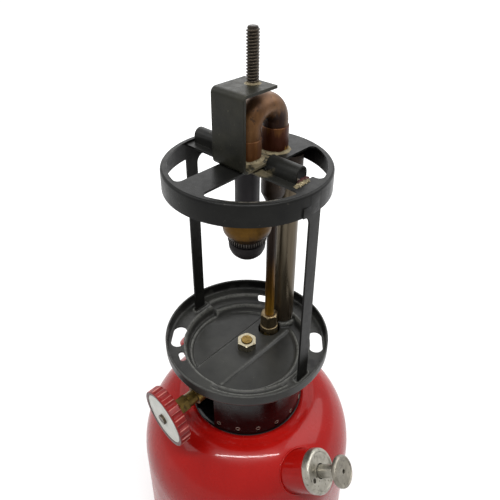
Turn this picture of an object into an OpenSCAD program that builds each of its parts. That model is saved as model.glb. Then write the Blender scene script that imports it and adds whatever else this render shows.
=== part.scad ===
// Single-mantle pressure gasoline lantern, shown with its globe, mantle, ventilator and bail taken off.
// Lengths are in millimetres. Z is up and Z = 0 is the table under the fount.
// X runs through the two frame legs, -Y is the fuel valve's side, +Y holds the generator.

/* [Fount] */
// Outside diameter of the fuel tank
fount_d = 134.4; // [128:0.2:142]
// Height of the flat top that carries the collar
fount_h = 107.5; // [100:0.5:118]
// Height at which the straight wall turns into the shoulder
fount_wall_h = 66.5; // [58:0.5:72]
// Diameter of the flat top
fount_seat_d = 73; // [71:0.5:76]
// Sheet thickness of the tank
fount_t = 1; // [0.8:0.1:1.6]
// Height of the lip of the tank bottom
bottom_lip_h = 8; // [5:0.5:14]

/* [Collar] */
// Outside diameter of the collar under the base plate
collar_d = 68; // [66:0.5:70]
// Height of the collar
collar_h = 35.6; // [35:0.1:40]
// Sheet thickness of the collar
collar_t = 1; // [0.8:0.1:1.6]
// Diameter of the air holes along the foot of the collar
vent_d = 2.2; // [1.5:0.1:3]
// Number of air holes all round
vent_count = 18; // [12:1:20]
// Width of the notch that lets the fuel valve out
valve_notch_w = 17; // [15:0.5:20]

/* [Base plate] */
// Outside diameter of the rim round the globe
plate_d = 96; // [94.5:0.5:102]
// Sheet thickness of the rim and the globe ledge
plate_t = 0.9; // [0.6:0.1:1.2]
// Thickness of the centre floor
floor_t = 2; // [1.8:0.1:3]
// Height of the middle step above the floor
step_rise = 2.7; // [2:0.1:3.2]
// Height of the globe ledge above the floor
ledge_rise = 5.3; // [4.8:0.1:6.5]
// Height of the rim above the globe ledge
rim_h = 6.7; // [4:0.1:10]
// Half width of the raised band across the floor
band_half_w = 10; // [8:0.5:13]
// Depth of the two pressed half-moons beside the band
moon_depth = 1.1; // [0.4:0.1:1.3]
// Length of each lighting hole
light_hole_l = 16.8; // [10:0.2:18]
// Width of each lighting hole
light_hole_w = 8.2; // [5:0.2:8.6]
// Direction of the lighting holes from the X axis, in degrees
light_hole_angle = 40; // [30:1:50]
// Length of each small ledge hole
drain_hole_l = 7.4; // [5:0.2:9]
// Width of each small ledge hole
drain_hole_w = 3.6; // [2:0.2:5]
// Direction of the small ledge holes from the X axis, in degrees
drain_hole_angle = 117; // [105:1:130]

/* [Frame] */
// Outside diameter of the top ring
ring_d = 84.7; // [83:0.1:86]
// Height from the rim of the base plate to the top of the ring
frame_h = 112.2; // [105:0.2:125]
// Depth of the ring's skirt
skirt_h = 11.4; // [8:0.2:16]
// Sheet thickness of the ring and legs
frame_t = 1.1; // [0.8:0.1:1.4]
// Width of the flat rim round the windows
ring_flat_w = 3.2; // [2.5:0.1:4.5]
// Half width of the cross plate on the valve side
bar_front_half_w = 7.7; // [7.2:0.1:9]
// Half width of the cross plate on the generator side
bar_back_half_w = 11.6; // [10.5:0.1:12.5]
// Corner radius of the windows
window_corner_r = 2.6; // [1:0.2:3.4]
// Width of each leg
leg_w = 7.6; // [6:0.1:9]
// Thickness of the bail strap under the ring
strap_t = 1; // [0.8:0.1:1.4]
// Width of the bail strap
strap_w = 13; // [12.5:0.1:15]
// Outside diameter of the strap's two rolled tunnels
tunnel_d = 7.8; // [6.4:0.1:9]
// Length of the tunnel on the +X side
tunnel_l = 18; // [12:0.5:18.5]
// Length of the tunnel on the -X side
tunnel_back_l = 24; // [12:0.5:25]

/* [Bracket and stud] */
// Width of the C bracket
bracket_w = 20.6; // [18:0.2:24]
// Height of the bracket above the ring
bracket_h = 38.1; // [37:0.1:46]
// Thickness of the bracket
bracket_t = 1.6; // [1.2:0.1:2]
// Distance of the bracket's upright from the axis
bracket_front = 13.4; // [12.4:0.1:16]
// Reach of the top flange past the axis
bracket_reach = 9; // [8:0.2:13]
// Thread diameter of the ventilator stud
stud_d = 6; // [5:0.05:6.6]
// Length of the stud above the bracket
stud_l = 25.3; // [18:0.1:32]
// Thread pitch of the stud
stud_pitch = 1.4; // [1.2:0.05:1.6]
// Distance of the stud from the axis, towards the generator
stud_y = 3.4; // [0:0.2:4]

/* [Burner] */
// Distance between the two legs of the return bend
bend_pitch = 20.3; // [19.6:0.1:21]
// Outside diameter of the return bend
bend_d = 12.9; // [11.6:0.1:13.2]
// Wall of the return bend and its sleeves
bend_t = 1; // [0.8:0.1:1.4]
// Height of the bend's centre above the ring
bend_rise = 15.8; // [14.5:0.1:17.5]
// Outside diameter of the burner tube
burner_tube_d = 12.6; // [11.8:0.1:13]
// Widest diameter of the burner bowl
bowl_d = 25.2; // [22:0.2:29]
// Distance from the top of the ring down to the foot of the burner bowl
bowl_drop = 44.2; // [42:0.2:60]
// Height of the burner bowl
bowl_h = 20; // [17:0.2:24]
// Diameter of the slotted ring
slot_ring_d = 19.2; // [18:0.2:21]
// Number of slots in the ring
slot_count = 36; // [24:1:44]
// Diameter of the mantle lip
mantle_lip_d = 19.4; // [18:0.2:21]

/* [Generator] */
// Outside diameter of the generator tube
generator_d = 5.6; // [5:0.1:6.4]
// Bore of the generator tube
generator_bore_d = 2.4; // [2:0.1:3]
// Width across flats of the generator nut
generator_nut_af = 9.6; // [8.6:0.1:10.8]
// Height of the hexagon of the generator nut
generator_nut_h = 9; // [6:0.2:12]
// Outside diameter of the air tube
air_tube_d = 13; // [11.5:0.1:13.4]
// Wall of the air tube
air_tube_t = 0.8; // [0.6:0.1:1.2]
// Distance of the air tube from the axis
air_tube_y = 33.5; // [33.2:0.1:33.8]
// Depth of the mixing chamber under the ring
chamber_h = 30; // [26:0.2:40]
// Outside diameter of the mixing chamber
chamber_d = 13.2; // [12.4:0.1:13.4]

/* [Fuel valve] */
// Height of the valve axis above the fount
valve_rise = 28.1; // [27:0.1:30]
// Turn of the valve about the upright, away from -Y, in degrees
valve_swing = -5.6; // [-8:0.2:0]
// Downward tilt of the valve, in degrees
valve_droop = 4.6; // [0:0.2:6]
// Diameter of the valve barrel
barrel_d = 10.4; // [9.6:0.1:12]
// Length of the valve barrel from the axis to the packing nut
barrel_l = 40; // [37:0.5:42]
// Diameter of the valve stem
stem_d = 4.4; // [3.6:0.1:5]
// Width across flats of the packing nut
packing_nut_af = 9.4; // [8.4:0.1:12]
// Length of the packing nut
packing_nut_l = 12.4; // [9:0.2:14]
// Diameter of the valve wheel
wheel_d = 33.8; // [28:0.2:38]
// Thickness of the valve wheel
wheel_w = 7.1; // [6.4:0.1:11]
// Gap between the packing nut and the wheel
wheel_gap = 2.3; // [1:0.1:6]
// Number of finger flutes round the wheel
flute_count = 16; // [10:1:20]

/* [Pump] */
// Direction of the pump from the X axis, in degrees
pump_azimuth = -14; // [-20:1:0]
// Turn of the pump about the upright through its seat, in degrees
pump_swing = 28.5; // [20:0.5:32]
// Upward tilt of the pump, in degrees
pump_tilt = 36; // [32:0.5:45]
// Place of the pump's seat across the shoulder, 0 at the flat top and 1 at the wall
pump_seat_share = 0.7; // [0.63:0.005:0.77]
// Diameter of the pump boss
pump_boss_d = 23.2; // [22.4:0.2:25]
// Length of the pump boss outside the shoulder
pump_boss_l = 9.5; // [8:0.5:14]
// Outside diameter of the pump barrel
pump_barrel_d = 19; // [18:0.1:20]
// Length of the pump barrel inside the tank
pump_barrel_l = 56; // [50:1:57]
// Thickness of the pump cap
pump_cap_h = 4.9; // [4:0.1:7]
// Diameter of the pump rod
pump_rod_d = 7; // [6:0.1:7.6]
// Gap between the pump cap and the knob
knob_gap = 11; // [10:0.5:20]
// Diameter of the pump knob
knob_d = 16.8; // [13:0.2:18]
// Thickness of the pump knob
knob_h = 4.3; // [3.8:0.1:6]
// Pumping stroke
pump_stroke = 38; // [25:1:40]

/* [Filler] */
// Direction of the filler from the X axis, in degrees
filler_azimuth = 176; // [165:1:190]
// Outward tilt of the filler from upright, in degrees
filler_tilt = 30; // [26:1:34]
// Place of the filler's seat across the shoulder, 0 at the flat top and 1 at the wall
filler_seat_share = 0.407; // [0.355:0.001:0.475]
// Outside diameter of the filler neck
filler_neck_d = 19; // [18:0.2:20.4]
// Bore of the filler neck
filler_bore_d = 15; // [13:0.2:16]
// Height of the filler neck's mouth above its seat
filler_rise = 6.2; // [5.5:0.1:9]
// Thickness of the filler cap's top
filler_cap_h = 3.6; // [2.5:0.1:6]
// Wall of the filler cap
filler_cap_t = 1.4; // [1:0.1:2]

/* [Clearances] */
// Gap between pieces that are brazed, screwed or pushed together
fit_gap = 0.05; // [0.02:0.01:0.1]
// Radial running gap of the stems in their holes
run_gap = 0.08; // [0.03:0.01:0.1]
// Gap round parts that pass through sheet metal
pass_gap = 0.3; // [0.2:0.05:0.4]

/* [Hidden] */
$fn = 96;

red_paint = "firebrick";
black_paint = "#333331";
brass = "#b08d4a";
brown_copper = "#7a4a2a";
bare_steel = "#8a8478";
zinc = "#a8a498";

shoulder_steps = 14;
cut = 1;

// Tank radii and the elliptical shoulder between the flat top and the wall
fount_r = fount_d / 2;
seat_r = fount_seat_d / 2;
shoulder_run = fount_r - seat_r;
shoulder_drop = fount_h - fount_wall_h;
pump_seat_r = seat_r + pump_seat_share * shoulder_run;
filler_r = seat_r + filler_seat_share * shoulder_run;
function shoulder_z(r) = fount_wall_h + shoulder_drop * sqrt(1 - pow((r - seat_r) / shoulder_run, 2));
function shoulder(inset) = [for (i = [0 : shoulder_steps]) let (a = 90 * i / shoulder_steps)
    [seat_r + (shoulder_run - inset) * sin(a), fount_wall_h + (shoulder_drop - inset) * cos(a)]];
function reversed(list) = [for (i = [len(list) - 1 : -1 : 0]) list[i]];

// Levels of the base plate and the frame
collar_top = fount_h + collar_h;
floor_top = collar_top + floor_t;
step_top = floor_top + step_rise;
ledge_top = floor_top + ledge_rise;
ledge_bottom = ledge_top - plate_t;
rim_top = ledge_top + rim_h;
ring_top = rim_top + frame_h;
ring_bottom = ring_top - frame_t;
strap_bottom = ring_bottom - strap_t;
bracket_top = ring_top + bracket_h;
stud_top = bracket_top + stud_l;
stud_shank_d = stud_d - 0.5;

// Radii of the base plate, from the floor out to the rim
collar_r = collar_d / 2;
plate_r = plate_d / 2;
floor_r = collar_r + 0.4;
wall_slope = 0.9;
wall_run = 1;
step_w = 1.3;
step_in = floor_r + wall_slope;
step_out = step_in + step_w;
ledge_in = step_out + wall_slope;
rim_corner = 1.5;
moon_r = floor_r - 2;
light_hole_r = ledge_in + 3.5;
drain_hole_r = ledge_in + 2.2;

// Frame radii and the legs
ring_r = ring_d / 2;
window_r = ring_r - ring_flat_w;
ring_corner = 1.6;
leg_x = ring_r - 0.15;
leg_tab_l = 3.4;
ear_w = 16;
ear_inner = 33;
strap_y = 0.8;
strap_end = sqrt(pow(ring_r - frame_t, 2) - pow(strap_w / 2 + strap_y, 2)) - pass_gap;
tunnel_y = 2.8;
tunnel_wall = 1;
tunnel_r = tunnel_d / 2 - tunnel_wall;
tunnel_lift = 3.8;
tunnel_start = bar_back_half_w + 1.4;

// Heights on the burner side
bend_r = bend_d / 2;
bend_z = ring_top + bend_rise;
sleeve_front_h = 10.6;
sleeve_back_h = 13.3;
sleeve_front_r = bend_r + 0.4;
sleeve_back_r = bend_r + 0.6;
burner_tube_r = burner_tube_d / 2;
bowl_foot = ring_top - bowl_drop;
bowl_top = bowl_foot + bowl_h;
bowl_r = bowl_d / 2;
bowl_belly = bowl_foot + 6.8;
bowl_t = 1;
slot_ring_h = 3;
slot_ring_bottom = bowl_foot - slot_ring_h;
mantle_groove_h = 1.2;
mantle_lip_h = 4.2;
mantle_groove_r = mantle_lip_d / 2 - 1.4;
mantle_dome_h = 2.2;
screen_r = 6;
mantle_bottom = slot_ring_bottom - mantle_groove_h - mantle_lip_h - mantle_dome_h;

// Generator column and mixing chamber
valve_z = fount_h + valve_rise;
chamber_bottom = ring_bottom - chamber_h;
chamber_taper_h = 6;
generator_top = chamber_bottom + 3;
gas_tip_h = 6;
riser_top = floor_top + 1.2;
riser_d = 8.4;
nut_socket_h = riser_top - valve_z - barrel_d / 2 - pass_gap;
nut_socket_d = 11.2;
nut_hex_z = riser_top + 2.8;
rod_d = 1.2;
rod_foot = riser_top - 6;
air_tube_r = air_tube_d / 2;
air_cap_h = 9;
air_cap_top = ring_bottom - 5;

// Valve lengths along its own axis, from the upright axis outwards
spigot_d = 12;
spigot_l = 5;
packing_l = 2.4;
wheel_back = barrel_l + packing_nut_l + wheel_gap;
wheel_face = wheel_back + wheel_w;
dial_recess = 1.2;
dial_t = 0.8;
dial_r = wheel_d / 2 - 2;
wheel_screw_r = 2.9;
centre_stud_d = 6.4;
frame_nut_af = 10.6;
frame_nut_h = 4.6;
frame_nut_turn = 12.7;

// Pump lengths along its own axis, from the seat on the shoulder
pump_boss_r = pump_boss_d / 2;
pump_bore_r = pump_barrel_d / 2 - 0.8;
pump_cap_top = pump_boss_l + pump_cap_h;
pump_boss_in = 8.5;
knob_foot = pump_cap_top + knob_gap;
check_valve_l = 6;
check_plug_l = 5;
air_stem_d = 3;
cup_h = 6;
cup_foot = check_plug_l - pump_barrel_l + 1;
rod_bore_d = air_stem_d + 0.4;

// Filler lengths along its own axis, from the seat on the shoulder
neck_r = filler_neck_d / 2;
neck_in = 4;
gasket_h = 0.8;
cap_in_r = neck_r + 0.2;
cap_r = cap_in_r + filler_cap_t;
cap_skirt_foot = 1.2;
cap_under = filler_rise + gasket_h + fit_gap;
cap_ridge_count = 24;

// Straight tube standing on its foot
module tube(outer_r, inner_r, h) {
    difference() {
        cylinder(r = outer_r, h = h);
        translate([0, 0, -cut]) cylinder(r = inner_r, h = h + 2 * cut);
    }
}

// Hexagonal bar by its width across flats
module hexagon(af, h) {
    cylinder(d = af / cos(30), h = h, $fn = 6);
}

// Round-ended slot through a sheet, its length along Y
module round_slot(l, w, h) {
    half = (l - w) / 2;
    for (s = [-1, 1]) translate([0, s * half, 0]) cylinder(d = w, h = h);
    translate([-w / 2, -half, 0]) cube([w, 2 * half, h]);
}

// Places its children on the generator's axis
module at_generator(z) {
    translate([0, bend_pitch, z]) children();
}

// Places its children on the valve's axis, with their Z pointing out towards the wheel
module on_valve(s) {
    translate([0, 0, valve_z])
        rotate([0, 0, valve_swing]) rotate([90 + valve_droop, 0, 0])
            translate([0, 0, s]) children();
}

// Places its children on the pump's axis, with their Z pointing out of the tank
module on_pump(s) {
    rotate([0, 0, pump_azimuth])
        translate([pump_seat_r, 0, shoulder_z(pump_seat_r)])
            rotate([0, 0, pump_swing]) rotate([0, 90 - pump_tilt, 0])
                translate([0, 0, s]) children();
}

// Places its children on the filler's axis, with their Z pointing out of the tank
module on_filler(s) {
    rotate([0, 0, filler_azimuth])
        translate([filler_r, 0, shoulder_z(filler_r)])
            rotate([0, filler_tilt, 0])
                translate([0, 0, s]) children();
}

// The whole outside of the tank as a solid, swollen by the given amount, for seating pieces on the shoulder
module fount_outside(swell) {
    rotate_extrude() polygon(concat(
        [[0, fount_h + swell]], shoulder(-swell), [[fount_r + swell, 0], [0, 0]]));
}

module fount_shell() {
    spigot_hole = spigot_d / 2 + fit_gap;
    color(red_paint) difference() {
        rotate_extrude() polygon(concat(
            [[spigot_hole, fount_h]], shoulder(0), [[fount_r, 0], [fount_r - fount_t, 0]],
            reversed(shoulder(fount_t)), [[spigot_hole, fount_h - fount_t]]));
        on_pump(-pump_barrel_l / 2) cylinder(r = pump_boss_r + fit_gap, h = pump_barrel_l);
        on_filler(-2 * neck_in) cylinder(r = neck_r + fit_gap, h = 4 * neck_in);
    }
}

module fount_bottom() {
    lip_r = fount_r - fount_t - fit_gap;
    color(red_paint) {
        cylinder(r = lip_r, h = fount_t);
        tube(lip_r, lip_r - fount_t, bottom_lip_h);
    }
}

module pump_boss() {
    bead_w = 1.2;
    bead_h = 1.2;
    color(red_paint) difference() {
        union() {
            on_pump(-pump_boss_in) cylinder(r = pump_boss_r, h = pump_boss_in + pump_boss_l);
            difference() {
                intersection() {
                    on_pump(-pump_boss_in) cylinder(r = pump_boss_r + bead_w, h = pump_boss_in + pump_boss_l);
                    fount_outside(bead_h);
                }
                fount_outside(0);
            }
        }
        on_pump(-2 * pump_boss_in)
            cylinder(d = pump_barrel_d + 2 * fit_gap, h = 4 * pump_boss_in + pump_boss_l);
    }
}

module pump_barrel() {
    color(brass) on_pump(-pump_barrel_l) tube(pump_barrel_d / 2, pump_bore_r, pump_barrel_l + pump_boss_l);
}

module check_valve() {
    ball_room_r = 2.2;
    ball_room_l = check_valve_l - 1.6;
    outlet_d = 1.6;
    stem_way_l = check_plug_l + check_valve_l / 2;
    color(brass) difference() {
        union() {
            on_pump(-pump_barrel_l) cylinder(r = pump_bore_r - fit_gap, h = check_plug_l);
            on_pump(-pump_barrel_l - check_valve_l) hexagon(8.6, check_valve_l + check_plug_l / 2);
        }
        on_pump(-pump_barrel_l - check_valve_l + 1) cylinder(r = ball_room_r, h = ball_room_l);
        on_pump(-pump_barrel_l - check_valve_l - cut) cylinder(d = outlet_d, h = check_valve_l);
        on_pump(-pump_barrel_l + check_plug_l - stem_way_l)
            cylinder(d = air_stem_d + 2 * run_gap, h = stem_way_l + cut);
    }
}

module check_ball() {
    color(bare_steel) on_pump(-pump_barrel_l - check_valve_l + 3.1) sphere(r = 1.9);
}

module pump_cap() {
    lip = 0.3;
    oil_hole_d = 2.8;
    oil_hole_at = 7.5;
    oil_hole_turn = -98;
    color(zinc) difference() {
        on_pump(pump_boss_l) cylinder(r = pump_boss_r + lip, h = pump_cap_h);
        on_pump(pump_boss_l - cut) cylinder(d = pump_rod_d + 2 * run_gap, h = pump_cap_h + 2 * cut);
        on_pump(pump_boss_l - cut) rotate([0, 0, oil_hole_turn])
            translate([oil_hole_at, 0, 0]) cylinder(d = oil_hole_d, h = pump_cap_h + 2 * cut);
    }
}

module filler_neck() {
    color(red_paint) on_filler(-neck_in) tube(neck_r, filler_bore_d / 2, filler_rise + neck_in);
}

module valve_body() {
    flange_r = 11;
    flange_h = 4;
    column_r = 7;
    column_h = valve_rise + barrel_d / 2 + 0.6;
    tail = bend_pitch + riser_d / 2 + 0.6;
    fuel_way_d = 2.4;
    cross_way_d = 1.8;
    way_end = 1.4;
    color(brass) difference() {
        union() {
            translate([0, 0, fount_h - spigot_l]) cylinder(d = spigot_d, h = spigot_l + flange_h);
            translate([0, 0, fount_h]) cylinder(r = flange_r, h = flange_h);
            translate([0, 0, fount_h]) cylinder(r = column_r, h = column_h);
            translate([0, 0, valve_z])
                cylinder(d = centre_stud_d, h = floor_top + frame_nut_h + 0.7 - valve_z);
            translate([0, tail, valve_z]) rotate([90, 0, 0]) cylinder(d = barrel_d, h = tail);
            on_valve(0) cylinder(d = barrel_d, h = barrel_l);
            at_generator(valve_z) cylinder(d = riser_d, h = riser_top - valve_z);
        }
        translate([0, 0, fount_h - spigot_l - cut])
            cylinder(d = fuel_way_d, h = valve_rise + spigot_l + cut + way_end);
        translate([0, bend_pitch, valve_z]) rotate([90, 0, 0]) cylinder(d = cross_way_d, h = bend_pitch);
        on_valve(column_r) cylinder(d = stem_d + 2 * run_gap, h = barrel_l);
        on_valve(barrel_l - packing_l) cylinder(d = barrel_d - 2, h = packing_l + cut);
        at_generator(valve_z - way_end)
            cylinder(d = generator_bore_d, h = riser_top - valve_z + way_end + cut);
    }
}

module pickup_tube() {
    tube_r = 3;
    foot_gap = 7;
    foot = fount_t + foot_gap;
    color(brass) translate([0, 0, foot]) tube(tube_r, tube_r - 0.8, fount_h - spigot_l - foot);
}

module packing_ring() {
    color("#3a3a3a") on_valve(barrel_l - packing_l)
        tube(barrel_d / 2 - 1 - fit_gap, stem_d / 2 + run_gap, packing_l);
}

module packing_nut() {
    color("#8a7f45") on_valve(barrel_l) difference() {
        union() {
            cylinder(d = barrel_d, h = packing_nut_l / 3);
            hexagon(packing_nut_af, packing_nut_l);
        }
        translate([0, 0, -cut]) cylinder(d = stem_d + 2 * run_gap, h = packing_nut_l + 2 * cut);
    }
}

module collar() {
    vent_z = fount_h + 3.4;
    spacing = 360 / vent_count;
    color(black_paint) difference() {
        translate([0, 0, fount_h]) tube(collar_r, collar_r - collar_t, collar_h);
        for (i = [1 : vent_count - 1])
            rotate([0, 0, i * spacing - 90 + valve_swing]) translate([collar_r - 3 * collar_t, 0, vent_z])
                rotate([0, 90, 0]) cylinder(d = vent_d, h = 6 * collar_t);
        rotate([0, 0, valve_swing]) translate([-valve_notch_w / 2, -collar_r - cut, fount_h - cut])
            cube([valve_notch_w, collar_r, collar_h + 2 * cut]);
    }
}

// Cross section of the pressed base plate, from the axis out to the rim
module plate_section() {
    under = collar_top;
    step_under = step_top - plate_t;
    polygon([[0, under], [floor_r + wall_run, under], [step_in + wall_run, step_under],
        [step_out + wall_run, step_under], [ledge_in + wall_run, ledge_bottom],
        [plate_r - rim_corner, ledge_bottom], [plate_r, ledge_bottom + rim_corner], [plate_r, rim_top],
        [plate_r - plate_t, rim_top], [plate_r - plate_t, ledge_top], [ledge_in, ledge_top],
        [step_out, step_top], [step_in, step_top], [floor_r, floor_top], [0, floor_top]]);
}

module base_plate() {
    air_pad_r = air_tube_r + 2.5;
    generator_hole_r = nut_socket_d / 2 + 1;
    through = 4 * ledge_rise;
    color(black_paint) difference() {
        union() {
            rotate_extrude() plate_section();
            translate([0, air_tube_y, collar_top]) cylinder(r = air_pad_r, h = step_top - collar_top);
        }
        for (s = [-1, 1]) intersection() {
            translate([0, 0, floor_top - moon_depth]) cylinder(r = moon_r, h = through);
            translate([s * (band_half_w + moon_r), 0, floor_top])
                cube([2 * moon_r, 2 * moon_r, 2 * moon_depth], center = true);
        }
        translate([0, 0, collar_top - cut]) cylinder(d = centre_stud_d + 2 * pass_gap, h = through);
        at_generator(collar_top - cut) cylinder(r = generator_hole_r, h = through);
        translate([0, air_tube_y, collar_top - cut]) cylinder(r = air_tube_r + fit_gap, h = through);
        for (a = [0, 180]) {
            rotate([0, 0, a + light_hole_angle]) translate([light_hole_r, 0, collar_top])
                round_slot(light_hole_l, light_hole_w, through);
            rotate([0, 0, a]) translate([leg_x - frame_t - pass_gap, -leg_w / 2 - pass_gap, collar_top])
                cube([frame_t + 2 * pass_gap, leg_w + 2 * pass_gap, through]);
        }
        for (a = [-1, 1]) rotate([0, 0, a * drain_hole_angle]) translate([drain_hole_r, 0, collar_top])
            round_slot(drain_hole_l, drain_hole_w, through);
    }
}

module frame_nut() {
    color("#cbbd84") translate([0, 0, floor_top]) difference() {
        rotate([0, 0, frame_nut_turn]) hexagon(frame_nut_af, frame_nut_h);
        translate([0, 0, -cut]) cylinder(d = centre_stud_d + 2 * fit_gap, h = frame_nut_h + 2 * cut);
    }
}

module generator_tube() {
    color(brass) at_generator(riser_top)
        tube(generator_d / 2, generator_bore_d / 2, generator_top - riser_top);
}

module generator_nut() {
    color("#9a8350") difference() {
        union() {
            at_generator(riser_top - nut_socket_h)
                cylinder(d = nut_socket_d, h = nut_hex_z - riser_top + nut_socket_h);
            at_generator(nut_hex_z) hexagon(generator_nut_af, generator_nut_h);
        }
        at_generator(riser_top - nut_socket_h - cut)
            cylinder(d = riser_d + 2 * fit_gap, h = nut_socket_h + cut);
        at_generator(riser_top - cut)
            cylinder(d = generator_d + 2 * fit_gap, h = nut_hex_z + generator_nut_h);
    }
}

module gas_tip() {
    jet_d = 0.9;
    color(brass) difference() {
        at_generator(generator_top) hexagon(generator_d, gas_tip_h);
        at_generator(generator_top - cut) cylinder(d = generator_bore_d, h = gas_tip_h - 1 + cut);
        at_generator(generator_top) cylinder(d = jet_d, h = gas_tip_h + cut);
    }
}

module air_tube() {
    color(bare_steel) translate([0, air_tube_y, collar_top])
        tube(air_tube_r, air_tube_r - air_tube_t, air_cap_top - 1 - collar_top);
}

module mixing_chamber() {
    chamber_r = chamber_d / 2;
    wall = 1;
    cap_r = air_tube_r + wall;
    duct_half_w = chamber_r - 2;
    duct_h = air_cap_h - 2;
    tip_room_r = generator_d / 2 + 0.8;
    color("#4a4038") difference() {
        union() {
            at_generator(chamber_bottom + chamber_taper_h)
                cylinder(r = chamber_r, h = chamber_h - chamber_taper_h);
            at_generator(chamber_bottom)
                cylinder(r1 = generator_d / 2 + wall, r2 = chamber_r, h = chamber_taper_h);
            translate([0, air_tube_y, air_cap_top - air_cap_h]) cylinder(r = cap_r, h = air_cap_h);
            translate([-duct_half_w, bend_pitch, air_cap_top - air_cap_h])
                cube([2 * duct_half_w, air_tube_y - bend_pitch, air_cap_h]);
        }
        at_generator(chamber_bottom - cut) cylinder(d = generator_d + 2 * fit_gap, h = chamber_taper_h);
        at_generator(generator_top) cylinder(r = tip_room_r, h = chamber_taper_h + cut);
        at_generator(chamber_bottom + chamber_taper_h) cylinder(r = chamber_r - wall, h = chamber_h);
        translate([0, air_tube_y, air_cap_top - air_cap_h - cut])
            cylinder(r = air_tube_r + fit_gap, h = air_cap_h);
        translate([-duct_half_w + wall, bend_pitch, air_cap_top - air_cap_h + 1])
            cube([2 * (duct_half_w - wall), air_tube_y - bend_pitch, duct_h]);
    }
}

module return_bend() {
    color(brown_copper) {
        translate([0, bend_pitch / 2, bend_z]) rotate([90, 0, 90]) rotate_extrude(angle = 180)
            translate([bend_pitch / 2, 0]) difference() {
                circle(r = bend_r);
                circle(r = bend_r - bend_t);
            }
        front_foot = ring_top + bracket_t + sleeve_front_h;
        back_foot = ring_top + sleeve_back_h;
        translate([0, 0, front_foot]) tube(bend_r, bend_r - bend_t, bend_z - front_foot);
        translate([0, bend_pitch, back_foot]) tube(bend_r, bend_r - bend_t, bend_z - back_foot);
    }
}

module front_sleeve() {
    color(brown_copper) translate([0, 0, ring_top + bracket_t])
        tube(sleeve_front_r, bend_r - bend_t, sleeve_front_h);
}

module back_sleeve() {
    color(brown_copper) translate([0, bend_pitch, ring_top])
        tube(sleeve_back_r, bend_r - bend_t, sleeve_back_h);
}

module burner_tube() {
    foot = bowl_top - 6;
    color("#2e2a28") translate([0, 0, foot]) tube(burner_tube_r, burner_tube_r - 1, ring_top - foot);
}

module burner_bowl() {
    neck_in = burner_tube_r + fit_gap;
    neck_out = neck_in + bowl_t;
    foot_r = slot_ring_d / 2 - 0.2;
    arc_steps = 10;
    crown = [for (i = [0 : arc_steps]) let (a = 90 * i / arc_steps)
        [neck_out + (bowl_r - neck_out) * sin(a), bowl_belly + (bowl_top - 2 - bowl_belly) * cos(a)]];
    skirt = [for (i = [1 : arc_steps]) let (a = 90 * i / arc_steps)
        [foot_r + (bowl_r - foot_r) * cos(a), bowl_belly - (bowl_belly - bowl_foot) * sin(a)]];
    crown_in = [for (p = reversed(crown)) [max(p[0] - bowl_t, neck_in), p[1] - bowl_t]];
    skirt_in = [for (p = reversed(skirt)) [p[0] - bowl_t, p[1]]];
    color(brass) rotate_extrude() polygon(concat(
        [[neck_in, bowl_top], [neck_out, bowl_top]], crown, skirt, skirt_in, crown_in));
}

module slotted_ring() {
    slot_w = 0.7;
    slot_depth = 1;
    ring_in = burner_tube_r + 1;
    color("#6a5138") translate([0, 0, slot_ring_bottom]) difference() {
        tube(slot_ring_d / 2, ring_in, slot_ring_h);
        for (i = [0 : slot_count - 1]) rotate([0, 0, i * 360 / slot_count])
            translate([slot_ring_d / 2 - slot_depth, -slot_w / 2, -cut])
                cube([4 * slot_depth, slot_w, 2 * slot_ring_h]);
    }
}

module mantle_collar() {
    lip_r = mantle_lip_d / 2;
    groove_foot = slot_ring_bottom - mantle_groove_h;
    lip_foot = groove_foot - mantle_lip_h;
    arc_steps = 8;
    dome = [for (i = [0 : arc_steps]) let (a = 90 * i / arc_steps)
        [screen_r + 1 + (lip_r - 1.6 - screen_r) * cos(a), lip_foot - mantle_dome_h * sin(a)]];
    color("#34302e") rotate_extrude() polygon(concat(
        [[screen_r, slot_ring_bottom], [mantle_groove_r, slot_ring_bottom], [mantle_groove_r, groove_foot],
        [lip_r, groove_foot], [lip_r, lip_foot]], dome, [[screen_r, mantle_bottom]]));
}

module burner_screen() {
    screen_t = 0.8;
    color("#5c5850") translate([0, 0, mantle_bottom]) cylinder(r = screen_r - fit_gap, h = screen_t);
}

// Cross section of the ring: flat rim, rounded corner and hanging skirt
module ring_section() {
    corner = [for (i = [0 : 4]) let (a = 90 * i / 4)
        [ring_r - ring_corner + ring_corner * sin(a), ring_top - ring_corner + ring_corner * cos(a)]];
    polygon(concat([[window_r, ring_bottom], [window_r, ring_top]], corner,
        [[ring_r, ring_top - skirt_h], [ring_r - frame_t, ring_top - skirt_h]],
        [[ring_r - frame_t, ring_bottom]]));
}

// Flat outline of the top: the cross plate and two ears inside the ring
module top_outline() {
    reach = ring_r - frame_t;
    offset(r = -window_corner_r) offset(delta = window_corner_r) difference() {
        circle(r = reach);
        difference() {
            circle(r = window_r);
            translate([-bar_front_half_w, -reach]) square([2 * bar_front_half_w, reach]);
            translate([-bar_back_half_w, 0]) square([2 * bar_back_half_w, reach]);
            translate([ear_inner, strap_y - ear_w / 2]) square([reach - ear_inner, ear_w]);
        }
    }
}

// One leg strip with its root fillet and its bent foot tab, on the +X side
module leg() {
    foot = ledge_bottom - frame_t;
    fillet = 5;
    skirt_foot = ring_top - skirt_h;
    translate([leg_x - frame_t, -leg_w / 2, foot]) cube([frame_t, leg_w, ring_top - ring_corner - foot]);
    translate([leg_x - frame_t, -leg_w / 2, foot]) cube([frame_t + leg_tab_l, leg_w, frame_t]);
    translate([leg_x - frame_t, -leg_w / 2 - fillet, skirt_foot - fillet]) difference() {
        cube([frame_t, fillet, 2 * fillet]);
        translate([-cut, 0, 0]) rotate([0, 90, 0]) cylinder(r = fillet, h = frame_t + 2 * cut);
    }
}

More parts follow.
